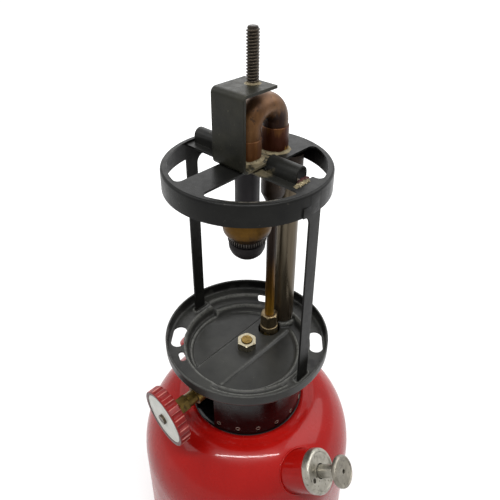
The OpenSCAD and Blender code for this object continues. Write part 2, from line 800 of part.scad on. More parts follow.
module frame_top() {
    chamber_port_r = chamber_d / 2 - 1;
    color(black_paint) difference() {
        union() {
            rotate_extrude() ring_section();
            translate([0, 0, ring_bottom]) linear_extrude(frame_t) top_outline();
            for (a = [0, 180]) rotate([0, 0, a]) leg();
        }
        translate([0, 0, ring_bottom - cut]) cylinder(r = burner_tube_r + fit_gap, h = frame_t + 2 * cut);
        at_generator(ring_bottom - cut) cylinder(r = chamber_port_r, h = frame_t + 2 * cut);
    }
}

// One rolled tunnel of the bail strap, from its inner end along +X
module tunnel(r, l) {
    translate([0, 0, tunnel_lift]) rotate([0, 90, 0]) cylinder(r = r, h = l);
    translate([0, -r, -strap_t]) cube([l, 2 * r, strap_t + tunnel_lift]);
}

module bail_strap() {
    outer_r = tunnel_r + tunnel_wall;
    lengths = [tunnel_l, tunnel_back_l];
    color(black_paint) difference() {
        union() {
            translate([-strap_end, strap_y - strap_w / 2, strap_bottom])
                cube([2 * strap_end, strap_w, strap_t]);
            for (s = [0, 1]) mirror([s, 0, 0])
                translate([tunnel_start, tunnel_y, ring_bottom]) tunnel(outer_r, lengths[s]);
        }
        for (s = [0, 1]) mirror([s, 0, 0]) translate([tunnel_start - cut, tunnel_y, ring_bottom]) {
            tunnel(tunnel_r, lengths[s] + 2 * cut);
            translate([0, -2 * outer_r, -2 * outer_r - strap_t])
                cube([lengths[s] + 2 * cut, 4 * outer_r, 2 * outer_r]);
        }
        translate([0, 0, strap_bottom - cut]) cylinder(r = burner_tube_r + fit_gap, h = strap_t + 2 * cut);
    }
}

// Side view of the C bracket, drawn with the distance along Y and the height above the ring
module bracket_section() {
    bend = 3;
    foot_reach = bend_r + 2.4;
    module corner(y, z, a) {
        translate([y, z]) rotate(a) difference() {
            square(bend);
            translate([bend, bend]) circle(r = bend);
        }
    }
    difference() {
        translate([-bracket_front, 0]) square([bracket_front + bracket_reach, bracket_h]);
        translate([bracket_t - bracket_front, bracket_t])
            square([bracket_front + bracket_reach, bracket_h - 2 * bracket_t]);
        translate([foot_reach, -cut]) square([bracket_reach + bracket_front, bracket_t + 2 * cut]);
        corner(-bracket_front, bracket_h, -90);
        corner(-bracket_front, 0, 0);
    }
}

module stud_bracket() {
    port_r = bend_r - bend_t;
    color(black_paint) difference() {
        translate([-bracket_w / 2, 0, ring_top]) rotate([90, 0, 90])
            linear_extrude(bracket_w) bracket_section();
        translate([0, 0, ring_top - cut]) cylinder(r = port_r, h = bracket_t + 2 * cut);
        translate([0, stud_y, bracket_top - 2 * bracket_t])
            cylinder(d = stud_shank_d + 2 * fit_gap, h = 4 * bracket_t);
    }
}

module ventilator_stud() {
    head_r = 4.6;
    head_h = 1.4;
    thread_depth = 0.62;
    shank_l = 0.6;
    tip = 0.8;
    crest = stud_d / 2;
    root = crest - thread_depth;
    shank_r = stud_shank_d / 2;
    turns = floor((stud_l - shank_l - tip) / stud_pitch);
    thread_start = bracket_top + shank_l;
    flange_under = bracket_top - bracket_t;
    thread = [for (i = [0 : turns - 1]) each [
        [root, thread_start + i * stud_pitch],
        [crest, thread_start + (i + 0.35) * stud_pitch],
        [crest, thread_start + (i + 0.65) * stud_pitch]]];
    color("#4c4640") translate([0, stud_y, 0]) rotate_extrude() polygon(concat(
        [[0, flange_under - head_h], [head_r, flange_under - head_h], [head_r, flange_under]],
        [[shank_r, flange_under], [shank_r, thread_start]], thread,
        [[root, thread_start + turns * stud_pitch], [root, stud_top - 0.3]],
        [[root - 0.3, stud_top], [0, stud_top]]));
}

module valve_stem() {
    tip_at = 8;
    hub_room = 3;
    color(brass) on_valve(tip_at) cylinder(d = stem_d, h = wheel_face - hub_room - tip_at);
}

module valve_wheel() {
    flute_r = 1.5;
    back_hollow_r = wheel_d / 2 - 5;
    back_hollow = wheel_w / 2 - 1;
    hub_r = stem_d / 2 + 2.6;
    color("#8c2a2a") on_valve(wheel_back) difference() {
        cylinder(d = wheel_d, h = wheel_w);
        for (i = [0 : flute_count - 1]) rotate([0, 0, i * 360 / flute_count])
            translate([wheel_d / 2 + flute_r / 2, 0, -cut]) cylinder(r = flute_r, h = wheel_w + 2 * cut);
        translate([0, 0, wheel_w - dial_recess]) cylinder(r = dial_r + fit_gap, h = dial_recess + cut);
        translate([0, 0, -back_hollow]) tube(back_hollow_r, hub_r, 2 * back_hollow);
        translate([0, 0, -cut]) cylinder(d = stem_d + 2 * fit_gap, h = wheel_w + 2 * cut);
    }
}

module valve_dial() {
    color("#d6d5cb") on_valve(wheel_face - dial_recess) tube(dial_r, stem_d / 2 + fit_gap, dial_t);
}

module wheel_screw() {
    head_h = 1.4;
    slot_w = 0.7;
    slot_depth = 0.7;
    head_foot = wheel_face - dial_recess + dial_t;
    shank_l = 2.2;
    color(brass) difference() {
        union() {
            on_valve(head_foot) cylinder(r = wheel_screw_r, h = head_h);
            on_valve(head_foot - shank_l) cylinder(d = stem_d, h = shank_l);
        }
        on_valve(head_foot + head_h - slot_depth)
            translate([-wheel_screw_r - cut, -slot_w / 2, 0])
                cube([2 * (wheel_screw_r + cut), slot_w, 2 * slot_depth]);
    }
}

module cleaning_rod() {
    needle_d = 0.5;
    needle_l = 1.4;
    rod_top = generator_top + gas_tip_h - 1 - needle_l;
    color(bare_steel) {
        at_generator(rod_foot) cylinder(d = rod_d, h = rod_top - rod_foot);
        at_generator(rod_top) cylinder(d = needle_d, h = needle_l + 0.6);
    }
}

module air_stem() {
    foot = -pump_barrel_l;
    top_room = 4;
    color(bare_steel) on_pump(foot) cylinder(d = air_stem_d, h = knob_foot - top_room - foot);
}

module pump_rod() {
    color(zinc) on_pump(cup_foot) tube(pump_rod_d / 2, rod_bore_d / 2, knob_foot - cup_foot);
}

module pump_knob() {
    edge = 0.9;
    neck_r = pump_rod_d / 2 + 1;
    thumb_hole_d = 2.2;
    thumb_hole_l = 2.4;
    knob_r = knob_d / 2;
    color(zinc) on_pump(knob_foot) rotate_extrude() polygon([[0, 0], [neck_r, 0], [knob_r - edge, edge],
        [knob_r, 2 * edge], [knob_r, knob_h - edge], [knob_r - edge, knob_h], [thumb_hole_d / 2, knob_h],
        [thumb_hole_d / 2, knob_h - thumb_hole_l], [0, knob_h - thumb_hole_l]]);
}

module pump_cup() {
    cup_t = 1.4;
    cup_gap = 0.15;
    cup_r = pump_bore_r - cup_gap;
    rod_r = pump_rod_d / 2 + fit_gap;
    color("#6b4a2c") on_pump(cup_foot) rotate_extrude() polygon([[cup_r - cup_t, 0], [cup_r, 0],
        [cup_r, cup_h], [rod_r, cup_h], [rod_r, cup_h - cup_t], [cup_r - cup_t, cup_h - cup_t]]);
}

module cup_retainer() {
    retainer_h = 1.5;
    color(zinc) on_pump(cup_foot + cup_h) tube(pump_bore_r - 2, pump_rod_d / 2 + fit_gap, retainer_h);
}

module filler_gasket() {
    color("#2c2a28") on_filler(filler_rise) tube(neck_r, filler_bore_d / 2, gasket_h);
}

module filler_cap() {
    ridge_r = 0.5;
    cap_l = cap_under + filler_cap_h - cap_skirt_foot;
    color(red_paint) on_filler(cap_skirt_foot) difference() {
        cylinder(r = cap_r, h = cap_l);
        translate([0, 0, -cut]) cylinder(r = cap_in_r, h = cap_under - cap_skirt_foot + cut);
        for (i = [0 : cap_ridge_count - 1]) rotate([0, 0, i * 360 / cap_ridge_count])
            translate([cap_r + ridge_r / 4, 0, -cut]) cylinder(r = ridge_r, h = cap_l + 2 * cut);
    }
}

fount_shell();
fount_bottom();
pump_boss();
pump_barrel();
check_valve();
check_ball();
pump_cap();
filler_neck();
valve_body();
pickup_tube();
packing_ring();
packing_nut();
collar();
base_plate();
frame_nut();
generator_tube();
generator_nut();
gas_tip();
air_tube();
mixing_chamber();
return_bend();
front_sleeve();
back_sleeve();
burner_tube();
burner_bowl();
slotted_ring();
mantle_collar();
burner_screen();
frame_top();
bail_strap();
stud_bracket();
ventilator_stud();
valve_stem();
valve_wheel();
valve_dial();
wheel_screw();
cleaning_rod();
air_stem();
pump_rod();
pump_knob();
pump_cup();
cup_retainer();
filler_gasket();
filler_cap();
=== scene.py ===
# %% [markdown]
# # A gasoline lantern, dressed in numpy surfaces
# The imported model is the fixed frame: every solid already stands where it belongs, in metres.
# This lesson lays finer surfaces over those solids and gives each one its finish.
# Most of the lantern was turned, drawn or pressed, so most pieces are a profile swung round an axis.

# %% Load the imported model
import math

import bmesh
import bpy
import numpy as np
from mathutils import Matrix, Vector


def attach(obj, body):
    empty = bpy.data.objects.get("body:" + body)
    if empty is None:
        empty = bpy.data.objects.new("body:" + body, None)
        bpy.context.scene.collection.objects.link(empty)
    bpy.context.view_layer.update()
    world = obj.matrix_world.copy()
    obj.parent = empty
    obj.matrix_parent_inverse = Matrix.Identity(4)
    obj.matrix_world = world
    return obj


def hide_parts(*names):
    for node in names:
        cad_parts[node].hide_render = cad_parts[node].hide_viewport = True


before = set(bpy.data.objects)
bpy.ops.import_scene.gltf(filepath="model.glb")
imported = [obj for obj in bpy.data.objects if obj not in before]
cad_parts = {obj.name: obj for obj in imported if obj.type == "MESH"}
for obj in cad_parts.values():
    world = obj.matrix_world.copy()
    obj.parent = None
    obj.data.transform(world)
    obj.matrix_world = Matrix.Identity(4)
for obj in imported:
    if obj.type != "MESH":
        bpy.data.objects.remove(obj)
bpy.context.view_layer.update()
scene = bpy.context.scene
MM = 0.001
FULL_TURN = 2 * math.pi

# %% [markdown]
# ## The camera
# The photograph looks about thirty degrees down at the lantern from the side of the pump and the valve.
# The camera's place was worked out from the ring, the rim and the legs, so it is written as a point and a
# direction. The lens fits the picture's frame, and a small shift keeps the stud in view.

# %% Camera
CAMERA_POINT = Vector((155.5, -166.6, 380.3)) * MM
LOOK = Vector((-0.5854, 0.6350, -0.5041)).normalized()
LEVEL = Vector((0.7353, 0.6778, 0.0)).normalized()
ROLL = math.radians(0.327)
camera_data = bpy.data.cameras.new("camera")
camera_data.sensor_width = 36
camera_data.lens = 37.41
camera_data.shift_y = -0.10
camera_data.clip_start = 0.01
camera = bpy.data.objects.new("camera", camera_data)
scene.collection.objects.link(camera)
scene.camera = camera
right = LEVEL * math.cos(ROLL) + LEVEL.cross(LOOK) * math.sin(ROLL)
turn = Matrix((right, right.cross(LOOK), -LOOK)).transposed().to_4x4()
camera.matrix_world = Matrix.Translation(CAMERA_POINT) @ turn
print("camera at", [round(v, 3) for v in camera.location])

# %% [markdown]
# ## Floor and light
# A studio sweep is white to the eye and still holds a soft shadow. The floor is a matt pale sheet that adds a
# glow to camera, glossy and transmission rays only, so the glow never lights the lantern.
# A long thin box over the front draws the bright line on the tank's shoulder, two wide fills open the sides, and
# a box behind the lantern puts a sheen on every top face and a bright line on the ring's near edge.

# %% Floor, world and lamps
def combined(tree, operation, first, second):
    """Output of a math node that is fed by two others."""
    node = tree.nodes.new("ShaderNodeMath")
    node.operation = operation
    tree.links.new(first, node.inputs[0])
    tree.links.new(second, node.inputs[1])
    return node.outputs[0]


def ranged(tree, value, low, high, to_low, to_high):
    """Value carried from one range to another, with gentle ends."""
    node = tree.nodes.new("ShaderNodeMapRange")
    node.interpolation_type = "SMOOTHSTEP"
    for socket, end in zip(("From Min", "From Max", "To Min", "To Max"), (low, high, to_low, to_high)):
        node.inputs[socket].default_value = end
    tree.links.new(value, node.inputs["Value"])
    return node.outputs["Result"]


def light_path_share(tree):
    """One where a ray comes from the camera, a gloss or a glass, and zero for the soft light between surfaces."""
    ray = tree.nodes.new("ShaderNodeLightPath").outputs
    seen = combined(tree, "MAXIMUM", ray["Is Camera Ray"], ray["Is Glossy Ray"])
    return combined(tree, "MAXIMUM", seen, ray["Is Transmission Ray"])


def pale_sweep(matt_grey, near, far):
    """Matt sheet with a glow that only the eye and reflections see; near and far are (distance in metres, glow)."""
    material = bpy.data.materials.new("pale_sweep")
    material.use_nodes = True
    tree = material.node_tree
    tree.nodes.clear()
    new, link = tree.nodes.new, tree.links.new
    matt = new("ShaderNodeBsdfDiffuse")
    matt.inputs["Color"].default_value = (matt_grey, matt_grey, matt_grey, 1)
    away = new("ShaderNodeVectorMath")
    away.operation = "LENGTH"
    link(new("ShaderNodeTexCoord").outputs["Object"], away.inputs[0])
    rise = ranged(tree, away.outputs["Value"], near[0], far[0], near[1], far[1])
    glow = new("ShaderNodeEmission")
    link(combined(tree, "MULTIPLY", rise, light_path_share(tree)), glow.inputs["Strength"])
    both = new("ShaderNodeAddShader")
    link(matt.outputs[0], both.inputs[0])
    link(glow.outputs[0], both.inputs[1])
    link(both.outputs[0], new("ShaderNodeOutputMaterial").inputs["Surface"])
    return material


FLOOR_HALF, FLOOR_GREY = 3.0, 0.5
GLOW_NEAR, GLOW_FAR = (0.10, 0.5), (0.75, 0.92)
SKY_LIGHT, SKY_SEEN = 0.3, 1.0
floor_corners = [(x * FLOOR_HALF, y * FLOOR_HALF, 0) for x, y in ((-1, -1), (1, -1), (1, 1), (-1, 1))]
floor_mesh = bpy.data.meshes.new("floor")
floor_mesh.from_pydata(floor_corners, [], [(0, 1, 2, 3)])
floor_mesh.materials.append(pale_sweep(FLOOR_GREY, GLOW_NEAR, GLOW_FAR))
floor = bpy.data.objects.new("floor", floor_mesh)
scene.collection.objects.link(floor)

world = bpy.data.worlds.new("studio")
scene.world = world
world.use_nodes = True
sky = world.node_tree
sky.nodes.clear()
share = sky.nodes.new("ShaderNodeMixShader")
sky.links.new(light_path_share(sky), share.inputs["Fac"])
for place, strength in ((1, SKY_LIGHT), (2, SKY_SEEN)):
    white = sky.nodes.new("ShaderNodeBackground")
    white.inputs["Color"].default_value = (1, 1, 1, 1)
    white.inputs["Strength"].default_value = strength
    sky.links.new(white.outputs[0], share.inputs[place])
sky_out = sky.nodes.new("ShaderNodeOutputWorld")
sky.links.new(share.outputs[0], sky_out.inputs["Surface"])

LAMP_AIM = Vector((0, 0, 0.15))


def soft_box(name, azimuth, elevation, distance, width, height, watts):
    """Rectangular lamp at a compass angle and a height angle from the lantern's middle, turned to face it."""
    a, e = math.radians(azimuth), math.radians(elevation)
    away = Vector((math.cos(e) * math.cos(a), math.cos(e) * math.sin(a), math.sin(e)))
    data = bpy.data.lights.new(name, "AREA")
    data.shape = "RECTANGLE"
    data.size, data.size_y = width, height
    data.energy = watts
    lamp = bpy.data.objects.new(name, data)
    scene.collection.objects.link(lamp)
    facing = away.to_track_quat("Z", "Y").to_matrix().to_4x4()
    lamp.matrix_world = Matrix.Translation(LAMP_AIM + away * distance) @ facing


# Each lamp has its compass angle, height angle, distance, width, height and watts.
lamps = {"overhead_strip": (-46, 67, 1.0, 0.95, 0.036, 8.5), "left_fill": (-135, 45, 1.3, 0.8, 0.8, 5.0),
         "right_fill": (56, 42, 1.3, 1.0, 1.0, 10.5), "back_box": (133, 36, 1.3, 1.4, 0.8, 6.0)}
for name, row in lamps.items():
    soft_box(name, *row)
scene.view_settings.view_transform = "Standard"
print("stage set with", len(bpy.data.lights), "soft boxes")

# %% [markdown]
# ## Finishes
# Paint, brass and burnt steel differ in three ways: how the colour drifts, how rough the skin is, and how
# fine its grain is. One helper builds all of them from noise in object coordinates, so the pattern stays
# on the piece. Streaks come from squeezing the noise along one axis. Stains and patches of painted shade are held
# between heights and widths of the lantern, and their edges are made ragged by the same noise. Scuffs and painted
# highlights take a paler colour where a piece marks them.

# %% Helper for finishes
def screen(r, g, b):
    """Linear colour of a screen colour: shares above 0.04 are raised as ((c + 0.055) / 1.055) to the power 2.4."""
    c = np.array([r, g, b]) / 255
    linear = np.where(c <= 0.04045, c / 12.92, ((c + 0.055) / 1.055) ** 2.4)
    return (*[float(v) for v in linear], 1.0)


NOISE_ROUGHNESS, NOISE_MIDDLE = 0.62, (0.3, 0.7)
RAGGED, RAGGED_GRAIN = 3.5 * MM, 2.3
FLECK_EDGE, FLECK_SHARE = 0.06, 0.8
WEAR_HIGHLIGHT_GRAIN, WEAR_HIGHLIGHT_NOISE, WEAR_HIGHLIGHT_SHARE = 420, (0.3, 0.55), (0.25, 1.0)
BUMP_DEPTH = 0.4 * MM
VARNISH_ROUGHNESS = 0.06


def finish(name, shades, grain, rough, shares=NOISE_MIDDLE, metal=0.0, bump=0.0, fine=1200, squeeze=(1, 1, 1),
           flecks=None, stains_and_shade=(), worn_and_highlight=None, sheen=0.5, varnish=0.0):
    """Finish whose colour drifts with cloudy noise, under patches, flecks, scuffs and painted light and shade.

    Colours are screen colours. shares is the noise at which each shade is reached, grain and fine are noise scales
    per metre, rough is the roughness range, flecks is (scale, noise at which they start, colour). Each entry of
    stains is (colour, amount, bounds); some are real marks and some are painted shade. A bound is an axis, the
    millimetre at which the patch is gone and the one at which it is full; bounds are multiplied. worn is the colour
    of scuffs and painted highlights, laid where the piece's wear attribute says. varnish is the weight of a smooth
    coat on top.
    """
    material = bpy.data.materials.new(name)
    material.use_nodes = True
    tree = material.node_tree
    new, link = tree.nodes.new, tree.links.new
    shader = tree.nodes["Principled BSDF"]
    place = new("ShaderNodeTexCoord").outputs["Object"]
    mapping = new("ShaderNodeMapping")
    mapping.inputs["Scale"].default_value = squeeze
    link(place, mapping.inputs["Vector"])
    streaked = mapping.outputs["Vector"]

    def noise(scale, detail, vector):
        """Cloudy noise from 0 to 1, at a scale per metre."""
        node = new("ShaderNodeTexNoise")
        node.inputs["Scale"].default_value = scale
        node.inputs["Detail"].default_value = detail
        node.inputs["Roughness"].default_value = NOISE_ROUGHNESS
        link(vector, node.inputs["Vector"])
        return node.outputs["Fac"]

    def over(colour, top, share):
        """Colour with a screen colour laid over it by a share."""
        node = new("ShaderNodeMix")
        node.data_type = "RGBA"
        link(share, node.inputs[0])
        link(colour, node.inputs[6])
        node.inputs[7].default_value = screen(*top)
        return node.outputs[2]

    ramp = new("ShaderNodeValToRGB")
    while len(ramp.color_ramp.elements) < len(shades):
        ramp.color_ramp.elements.new(0.5)
    for element, share, shade in zip(ramp.color_ramp.elements, shares, shades):
        element.position = share
        element.color = screen(*shade)
    link(noise(grain, 6, streaked), ramp.inputs["Fac"])
    colour = ramp.outputs["Color"]
    # Stains, and patches of painted shade, lie between their bounds.
    if stains_and_shade:
        split = new("ShaderNodeSeparateXYZ")
        link(place, split.inputs["Vector"])
        ragged = ranged(tree, noise(grain * RAGGED_GRAIN, 5, streaked), *NOISE_MIDDLE, -RAGGED, RAGGED)
        for patch_colour, amount, bounds in stains_and_shade:
            part = None
            for axis, gone, full in bounds:
                reach = combined(tree, "ADD", split.outputs["XYZ".index(axis)], ragged)
                inside = ranged(tree, reach, gone * MM, full * MM, 0.0, amount if part is None else 1.0)
                part = inside if part is None else combined(tree, "MULTIPLY", part, inside)
            colour = over(colour, patch_colour, part)
    if flecks:
        scale, start, spot = flecks
        specks = ranged(tree, noise(scale, 3, place), start, start + FLECK_EDGE, 0.0, FLECK_SHARE)
        colour = over(colour, spot, specks)
    # Scuffs and painted highlights take the paler colour where the piece's value marks them.
    if worn_and_highlight:
        wear_highlight = new("ShaderNodeAttribute")
        wear_highlight.attribute_name = "wear_and_highlight"
        patchy = ranged(tree, noise(WEAR_HIGHLIGHT_GRAIN, 4, place), *WEAR_HIGHLIGHT_NOISE, *WEAR_HIGHLIGHT_SHARE)
        colour = over(colour, worn_and_highlight, combined(tree, "MULTIPLY", wear_highlight.outputs["Fac"], patchy))
    link(colour, shader.inputs["Base Color"])
    link(ranged(tree, noise(fine / 5, 4, streaked), *NOISE_MIDDLE, *rough), shader.inputs["Roughness"])
    shader.inputs["Metallic"].default_value = metal
    shader.inputs["Specular IOR Level"].default_value = sheen
    shader.inputs["Coat Weight"].default_value = varnish
    shader.inputs["Coat Roughness"].default_value = VARNISH_ROUGHNESS
    if bump:
        relief = new("ShaderNodeBump")
        relief.inputs["Strength"].default_value = bump
        relief.inputs["Distance"].default_value = BUMP_DEPTH
        link(noise(fine, 4, streaked), relief.inputs["Height"])
        link(relief.outputs["Normal"], shader.inputs["Normal"])
    return material


# %% [markdown]
# ## Paint
# The tank's enamel is glossy and even, a little darker in specks. The frame is stove-blacked, so it is nearly
# black in itself and its grey comes from the sheen. Hot work left tan braze round the bracket's foot, and the
# stains put it there. The near-black at the back of the ring's skirt and of the pan's rim is painted shade.

# %% Paint finishes
# The second colour is painted shade, laid as a stain where the frame lies in shade.
TAN_BRAZE, SHADE_BLACK = (100, 92, 72), (9, 8, 8)
red_enamel = finish("red_enamel", [(136, 10, 7), (154, 16, 11)], 22, (0.22, 0.32), bump=0.02, fine=500,
                    flecks=(260, 0.74, (116, 8, 7)), sheen=0.09, varnish=0.2)
# Its stain is painted shade: near-black on the ring's skirt at the back.
satin_black = finish("satin_black", [(11, 11, 11), (27, 27, 25)], 60, (0.28, 0.4), shares=(0.3, 0.72), bump=0.14,
                     fine=1500, flecks=(420, 0.68, (54, 52, 46)), sheen=0.11,
                     stains_and_shade=[(SHADE_BLACK, 0.8, [("Y", 2, 16), ("Z", 268.3, 266.8)])])
strap_black = finish("strap_black", [(18, 18, 17), (34, 34, 31)], 60, (0.32, 0.44), shares=(0.3, 0.72), bump=0.14,
                     fine=1500, flecks=(420, 0.68, (60, 57, 50)), sheen=0.13,
                     stains_and_shade=[(TAN_BRAZE, 0.7, [("X", 7, 9), ("X", 17, 13), ("Z", 270.0, 269.0)])])
# Its stain is painted shade: near-black on the rim at the back.
pan_black = finish("pan_black", [(26, 26, 25), (44, 44, 41)], 45, (0.3, 0.42), bump=0.1, fine=1500,
                   # Its worn colour is a painted highlight on the humps of the sheet and on the rim's top.
                   flecks=(520, 0.7, (70, 68, 62)), worn_and_highlight=(86, 86, 82), sheen=0.2,
                   stains_and_shade=[(SHADE_BLACK, 0.85, [("Z", 151.4, 153.6), ("Y", -12, 8)])])
bracket_black = finish("bracket_black", [(20, 20, 16), (40, 39, 31)], 85, (0.34, 0.48), bump=0.16, fine=1300,
                       flecks=(300, 0.64, (66, 63, 48)), sheen=0.14,
                       stains_and_shade=[(TAN_BRAZE, 0.8, [("Z", 273.0, 271.6), ("Y", -11, -8)])])
gloss_black = finish("gloss_black", [(7, 6, 6), (15, 12, 12)], 40, (0.14, 0.28), bump=0.06, fine=900, sheen=0.2,
                     stains_and_shade=[((62, 62, 58), 0.3, [("Z", 124, 134), ("Y", -14, -24), ("X", 26, 18)])])
# Its worn colour paints the flute lips paler: partly worn paint, partly a painted highlight.
knob_red = finish("knob_red", [(102, 14, 14), (128, 24, 22)], 120, (0.28, 0.42), bump=0.08, fine=1200,
                  worn_and_highlight=(198, 126, 116), sheen=0.2)
bezel_dark = finish("bezel_dark", [(36, 18, 20), (60, 30, 32)], 160, (0.35, 0.5), bump=0.1, fine=1300)
dial_white = finish("dial_white", [(190, 191, 182), (214, 215, 206)], 130, (0.3, 0.45), bump=0.03, fine=900,
                    flecks=(700, 0.67, (158, 158, 150)))
print("paints made:", len(bpy.data.materials) - 1)

# %% [markdown]
# ## Metal
# Heat turned the copper bend brown, and the near-purple on its inner side under the arch is painted shade. The
# generator is gold only at its foot and burnt above, and the burner bowl is darker towards its foot. Turned zinc and
# the nuts stay brighter.

# %% Metal finishes
pipe_copper = finish("pipe_copper", [(48, 30, 16), (86, 57, 30), (114, 81, 48)], 85, (0.34, 0.48),
                     shares=(0.34, 0.52, 0.76), metal=0.45, bump=0.1, fine=700, squeeze=(1, 1, 0.5), sheen=0.2,
                     flecks=(330, 0.62, (52, 36, 24)),
                     # The first stain is painted shade: near-purple on the back leg's inner side, under the arch.
                     stains_and_shade=[((32, 18, 16), 0.9, [("Y", 8, 13), ("Y", 21, 16), ("Z", 294, 288)]),
                             ((92, 68, 52), 0.45, [("Z", 293, 299)])])
sleeve_copper = finish("sleeve_copper", [(52, 26, 12), (88, 54, 26), (114, 78, 42)], 120, (0.34, 0.48),
                       shares=(0.25, 0.55, 0.78), metal=0.5, bump=0.07, fine=900, squeeze=(1, 1, 0.15), sheen=0.2,
                       stains_and_shade=[((52, 20, 12), 0.85, [("Y", 9, 13), ("Z", 284, 279)]),
                               ((150, 112, 46), 0.7, [("Z", 270.6, 269.4), ("Y", 9, 12)])])
# Its stain darkens the bowl towards its foot.
burner_brass = finish("burner_brass", [(52, 34, 8), (94, 66, 20)], 60, (0.3, 0.44), metal=0.6, bump=0.06, fine=900,
                      sheen=0.15, stains_and_shade=[((30, 20, 16), 0.92, [("Z", 233, 227)])])
soot_metal = finish("soot_metal", [(14, 12, 13), (32, 28, 28)], 160, (0.42, 0.6), metal=0.2, bump=0.5, fine=1300,
                    flecks=(420, 0.66, (70, 66, 64)), worn_and_highlight=(128, 120, 112), sheen=0.14)
burnt_black = finish("burnt_black", [(15, 13, 16), (30, 26, 29)], 80, (0.34, 0.5), metal=0.1, bump=0.12, fine=1400,
                     sheen=0.16)
heat_brown = finish("heat_brown", [(30, 23, 19), (56, 43, 33)], 70, (0.4, 0.6), metal=0.3, bump=0.18, fine=1100,
                    flecks=(300, 0.64, (80, 64, 46)), sheen=0.18)
tube_brass = finish("tube_brass", [(106, 70, 14), (150, 110, 34), (180, 144, 68)], 210, (0.26, 0.4),
                    shares=(0.3, 0.55, 0.75), metal=0.7, bump=0.04, fine=900, squeeze=(1, 1, 0.08), sheen=0.2,
                    stains_and_shade=[((66, 44, 16), 0.75, [("Z", 162, 184)]), ((20, 13, 12), 0.95, [("Z", 178, 206)])])
nut_brass = finish("nut_brass", [(72, 62, 46), (122, 108, 82)], 150, (0.28, 0.42), metal=0.9, bump=0.08, fine=1500,
                   flecks=(500, 0.6, (40, 32, 22)), stains_and_shade=[((176, 148, 84), 0.7, [("Z", 144.5, 142.5)])])
olive_brass = finish("olive_brass", [(58, 46, 18), (104, 84, 38)], 170, (0.28, 0.45), metal=0.85, bump=0.08,
                     fine=1300, flecks=(460, 0.62, (38, 30, 14)))
pale_brass = finish("pale_brass", [(116, 109, 92), (162, 155, 134)], 320, (0.24, 0.38), metal=0.95, bump=0.1,
                    fine=1600, flecks=(640, 0.6, (74, 60, 34)))
yellow_brass = finish("yellow_brass", [(78, 60, 24), (128, 104, 54)], 420, (0.26, 0.42), metal=0.9, bump=0.25,
                      fine=1500, flecks=(620, 0.58, (56, 40, 14)))
stained_steel = finish("stained_steel", [(68, 58, 45), (88, 79, 64), (112, 103, 86)], 160, (0.26, 0.4),
                       shares=(0.28, 0.55, 0.78), metal=0.75, bump=0.04, fine=900, squeeze=(1, 1, 0.07),
                       stains_and_shade=[((56, 46, 38), 0.6, [("Z", 225, 260)]), ((76, 66, 54), 0.6, [("Z", 172, 152)])])
# Its worn colour is the painted highlight on the stud's thread crests.
dark_steel = finish("dark_steel", [(26, 23, 20), (52, 46, 39)], 200, (0.36, 0.52), metal=0.6, bump=0.08, fine=1500,
                    worn_and_highlight=(62, 55, 46), sheen=0.2)
# The two zincs are one metal: the first is painted lighter for the lit cap, the second darker for the knob, as
# painted shade.
lit_zinc = finish("lit_zinc", [(124, 121, 112), (168, 164, 153)], 190, (0.3, 0.46), metal=0.85, bump=0.16,
                   fine=1400, flecks=(480, 0.6, (84, 81, 73)))
shaded_zinc = finish("shaded_zinc", [(98, 94, 85), (140, 135, 124)], 190, (0.3, 0.46), metal=0.85, bump=0.16, fine=1400,
                   flecks=(480, 0.6, (78, 74, 66)))
braze = finish("braze", [(84, 74, 54), (132, 122, 96)], 260, (0.5, 0.7), metal=0.2, bump=0.4, fine=1100,
               flecks=(700, 0.58, (62, 50, 34)), sheen=0.25)
weld_bead = finish("weld_bead", [(56, 50, 40), (104, 94, 70), (172, 160, 130)], 520, (0.4, 0.6),
                   shares=(0.3, 0.52, 0.72), metal=0.3, bump=0.4, fine=1100, sheen=0.25)
rusty_edge = finish("rusty_edge", [(34, 16, 16), (72, 36, 34)], 320, (0.5, 0.7), bump=0.4, fine=1100, sheen=0.2)
leather = finish("leather", [(84, 58, 34), (118, 84, 52)], 140, (0.6, 0.8), bump=0.3, fine=1800)
rubber = finish("rubber", [(28, 27, 26), (44, 42, 40)], 160, (0.6, 0.8), bump=0.15, fine=1600)
graphite = finish("graphite", [(40, 40, 42), (62, 62, 64)], 200, (0.4, 0.6), metal=0.3, bump=0.2, fine=1700)
print("finishes made:", len(bpy.data.materials) - 1)

# %% [markdown]
# ## Grids into meshes
# A surface here is an array of points with rows and columns. Every cell between two rows and two columns is
# one quad, and a side that comes round to its start is joined to it. That one rule serves turned pieces,
# tubes and pressed sheets alike, and no loop over vertices is needed.

# %% Helpers for surfaces
def surface(points, wrap_rows=False, wrap_columns=True, keep=None):
    """Points and quads of a grid: cell (i, j) takes the corners (i, j), (i, j+1), (i+1, j+1) and (i+1, j)."""
    rows, columns = points.shape[:2]
    index = np.arange(rows * columns).reshape(rows, columns)
    if wrap_rows:
        index = np.vstack([index, index[:1]])
    if wrap_columns:
        index = np.hstack([index, index[:, :1]])
    quads = np.stack([index[:-1, :-1], index[:-1, 1:], index[1:, 1:], index[1:, :-1]], axis=-1)
    quads = quads[keep] if keep is not None else quads.reshape(-1, 4)
    return points.reshape(-1, 3), quads


def polar(r, a, z):
    """Points x = r cos a, y = r sin a at height z, with the three spread over one grid."""
    r, a, z = np.broadcast_arrays(r, a, z)
    return np.stack([r * np.cos(a), r * np.sin(a), z], -1)


MERGE, SLIVER, CREASE = 2e-6, 1e-6, 34


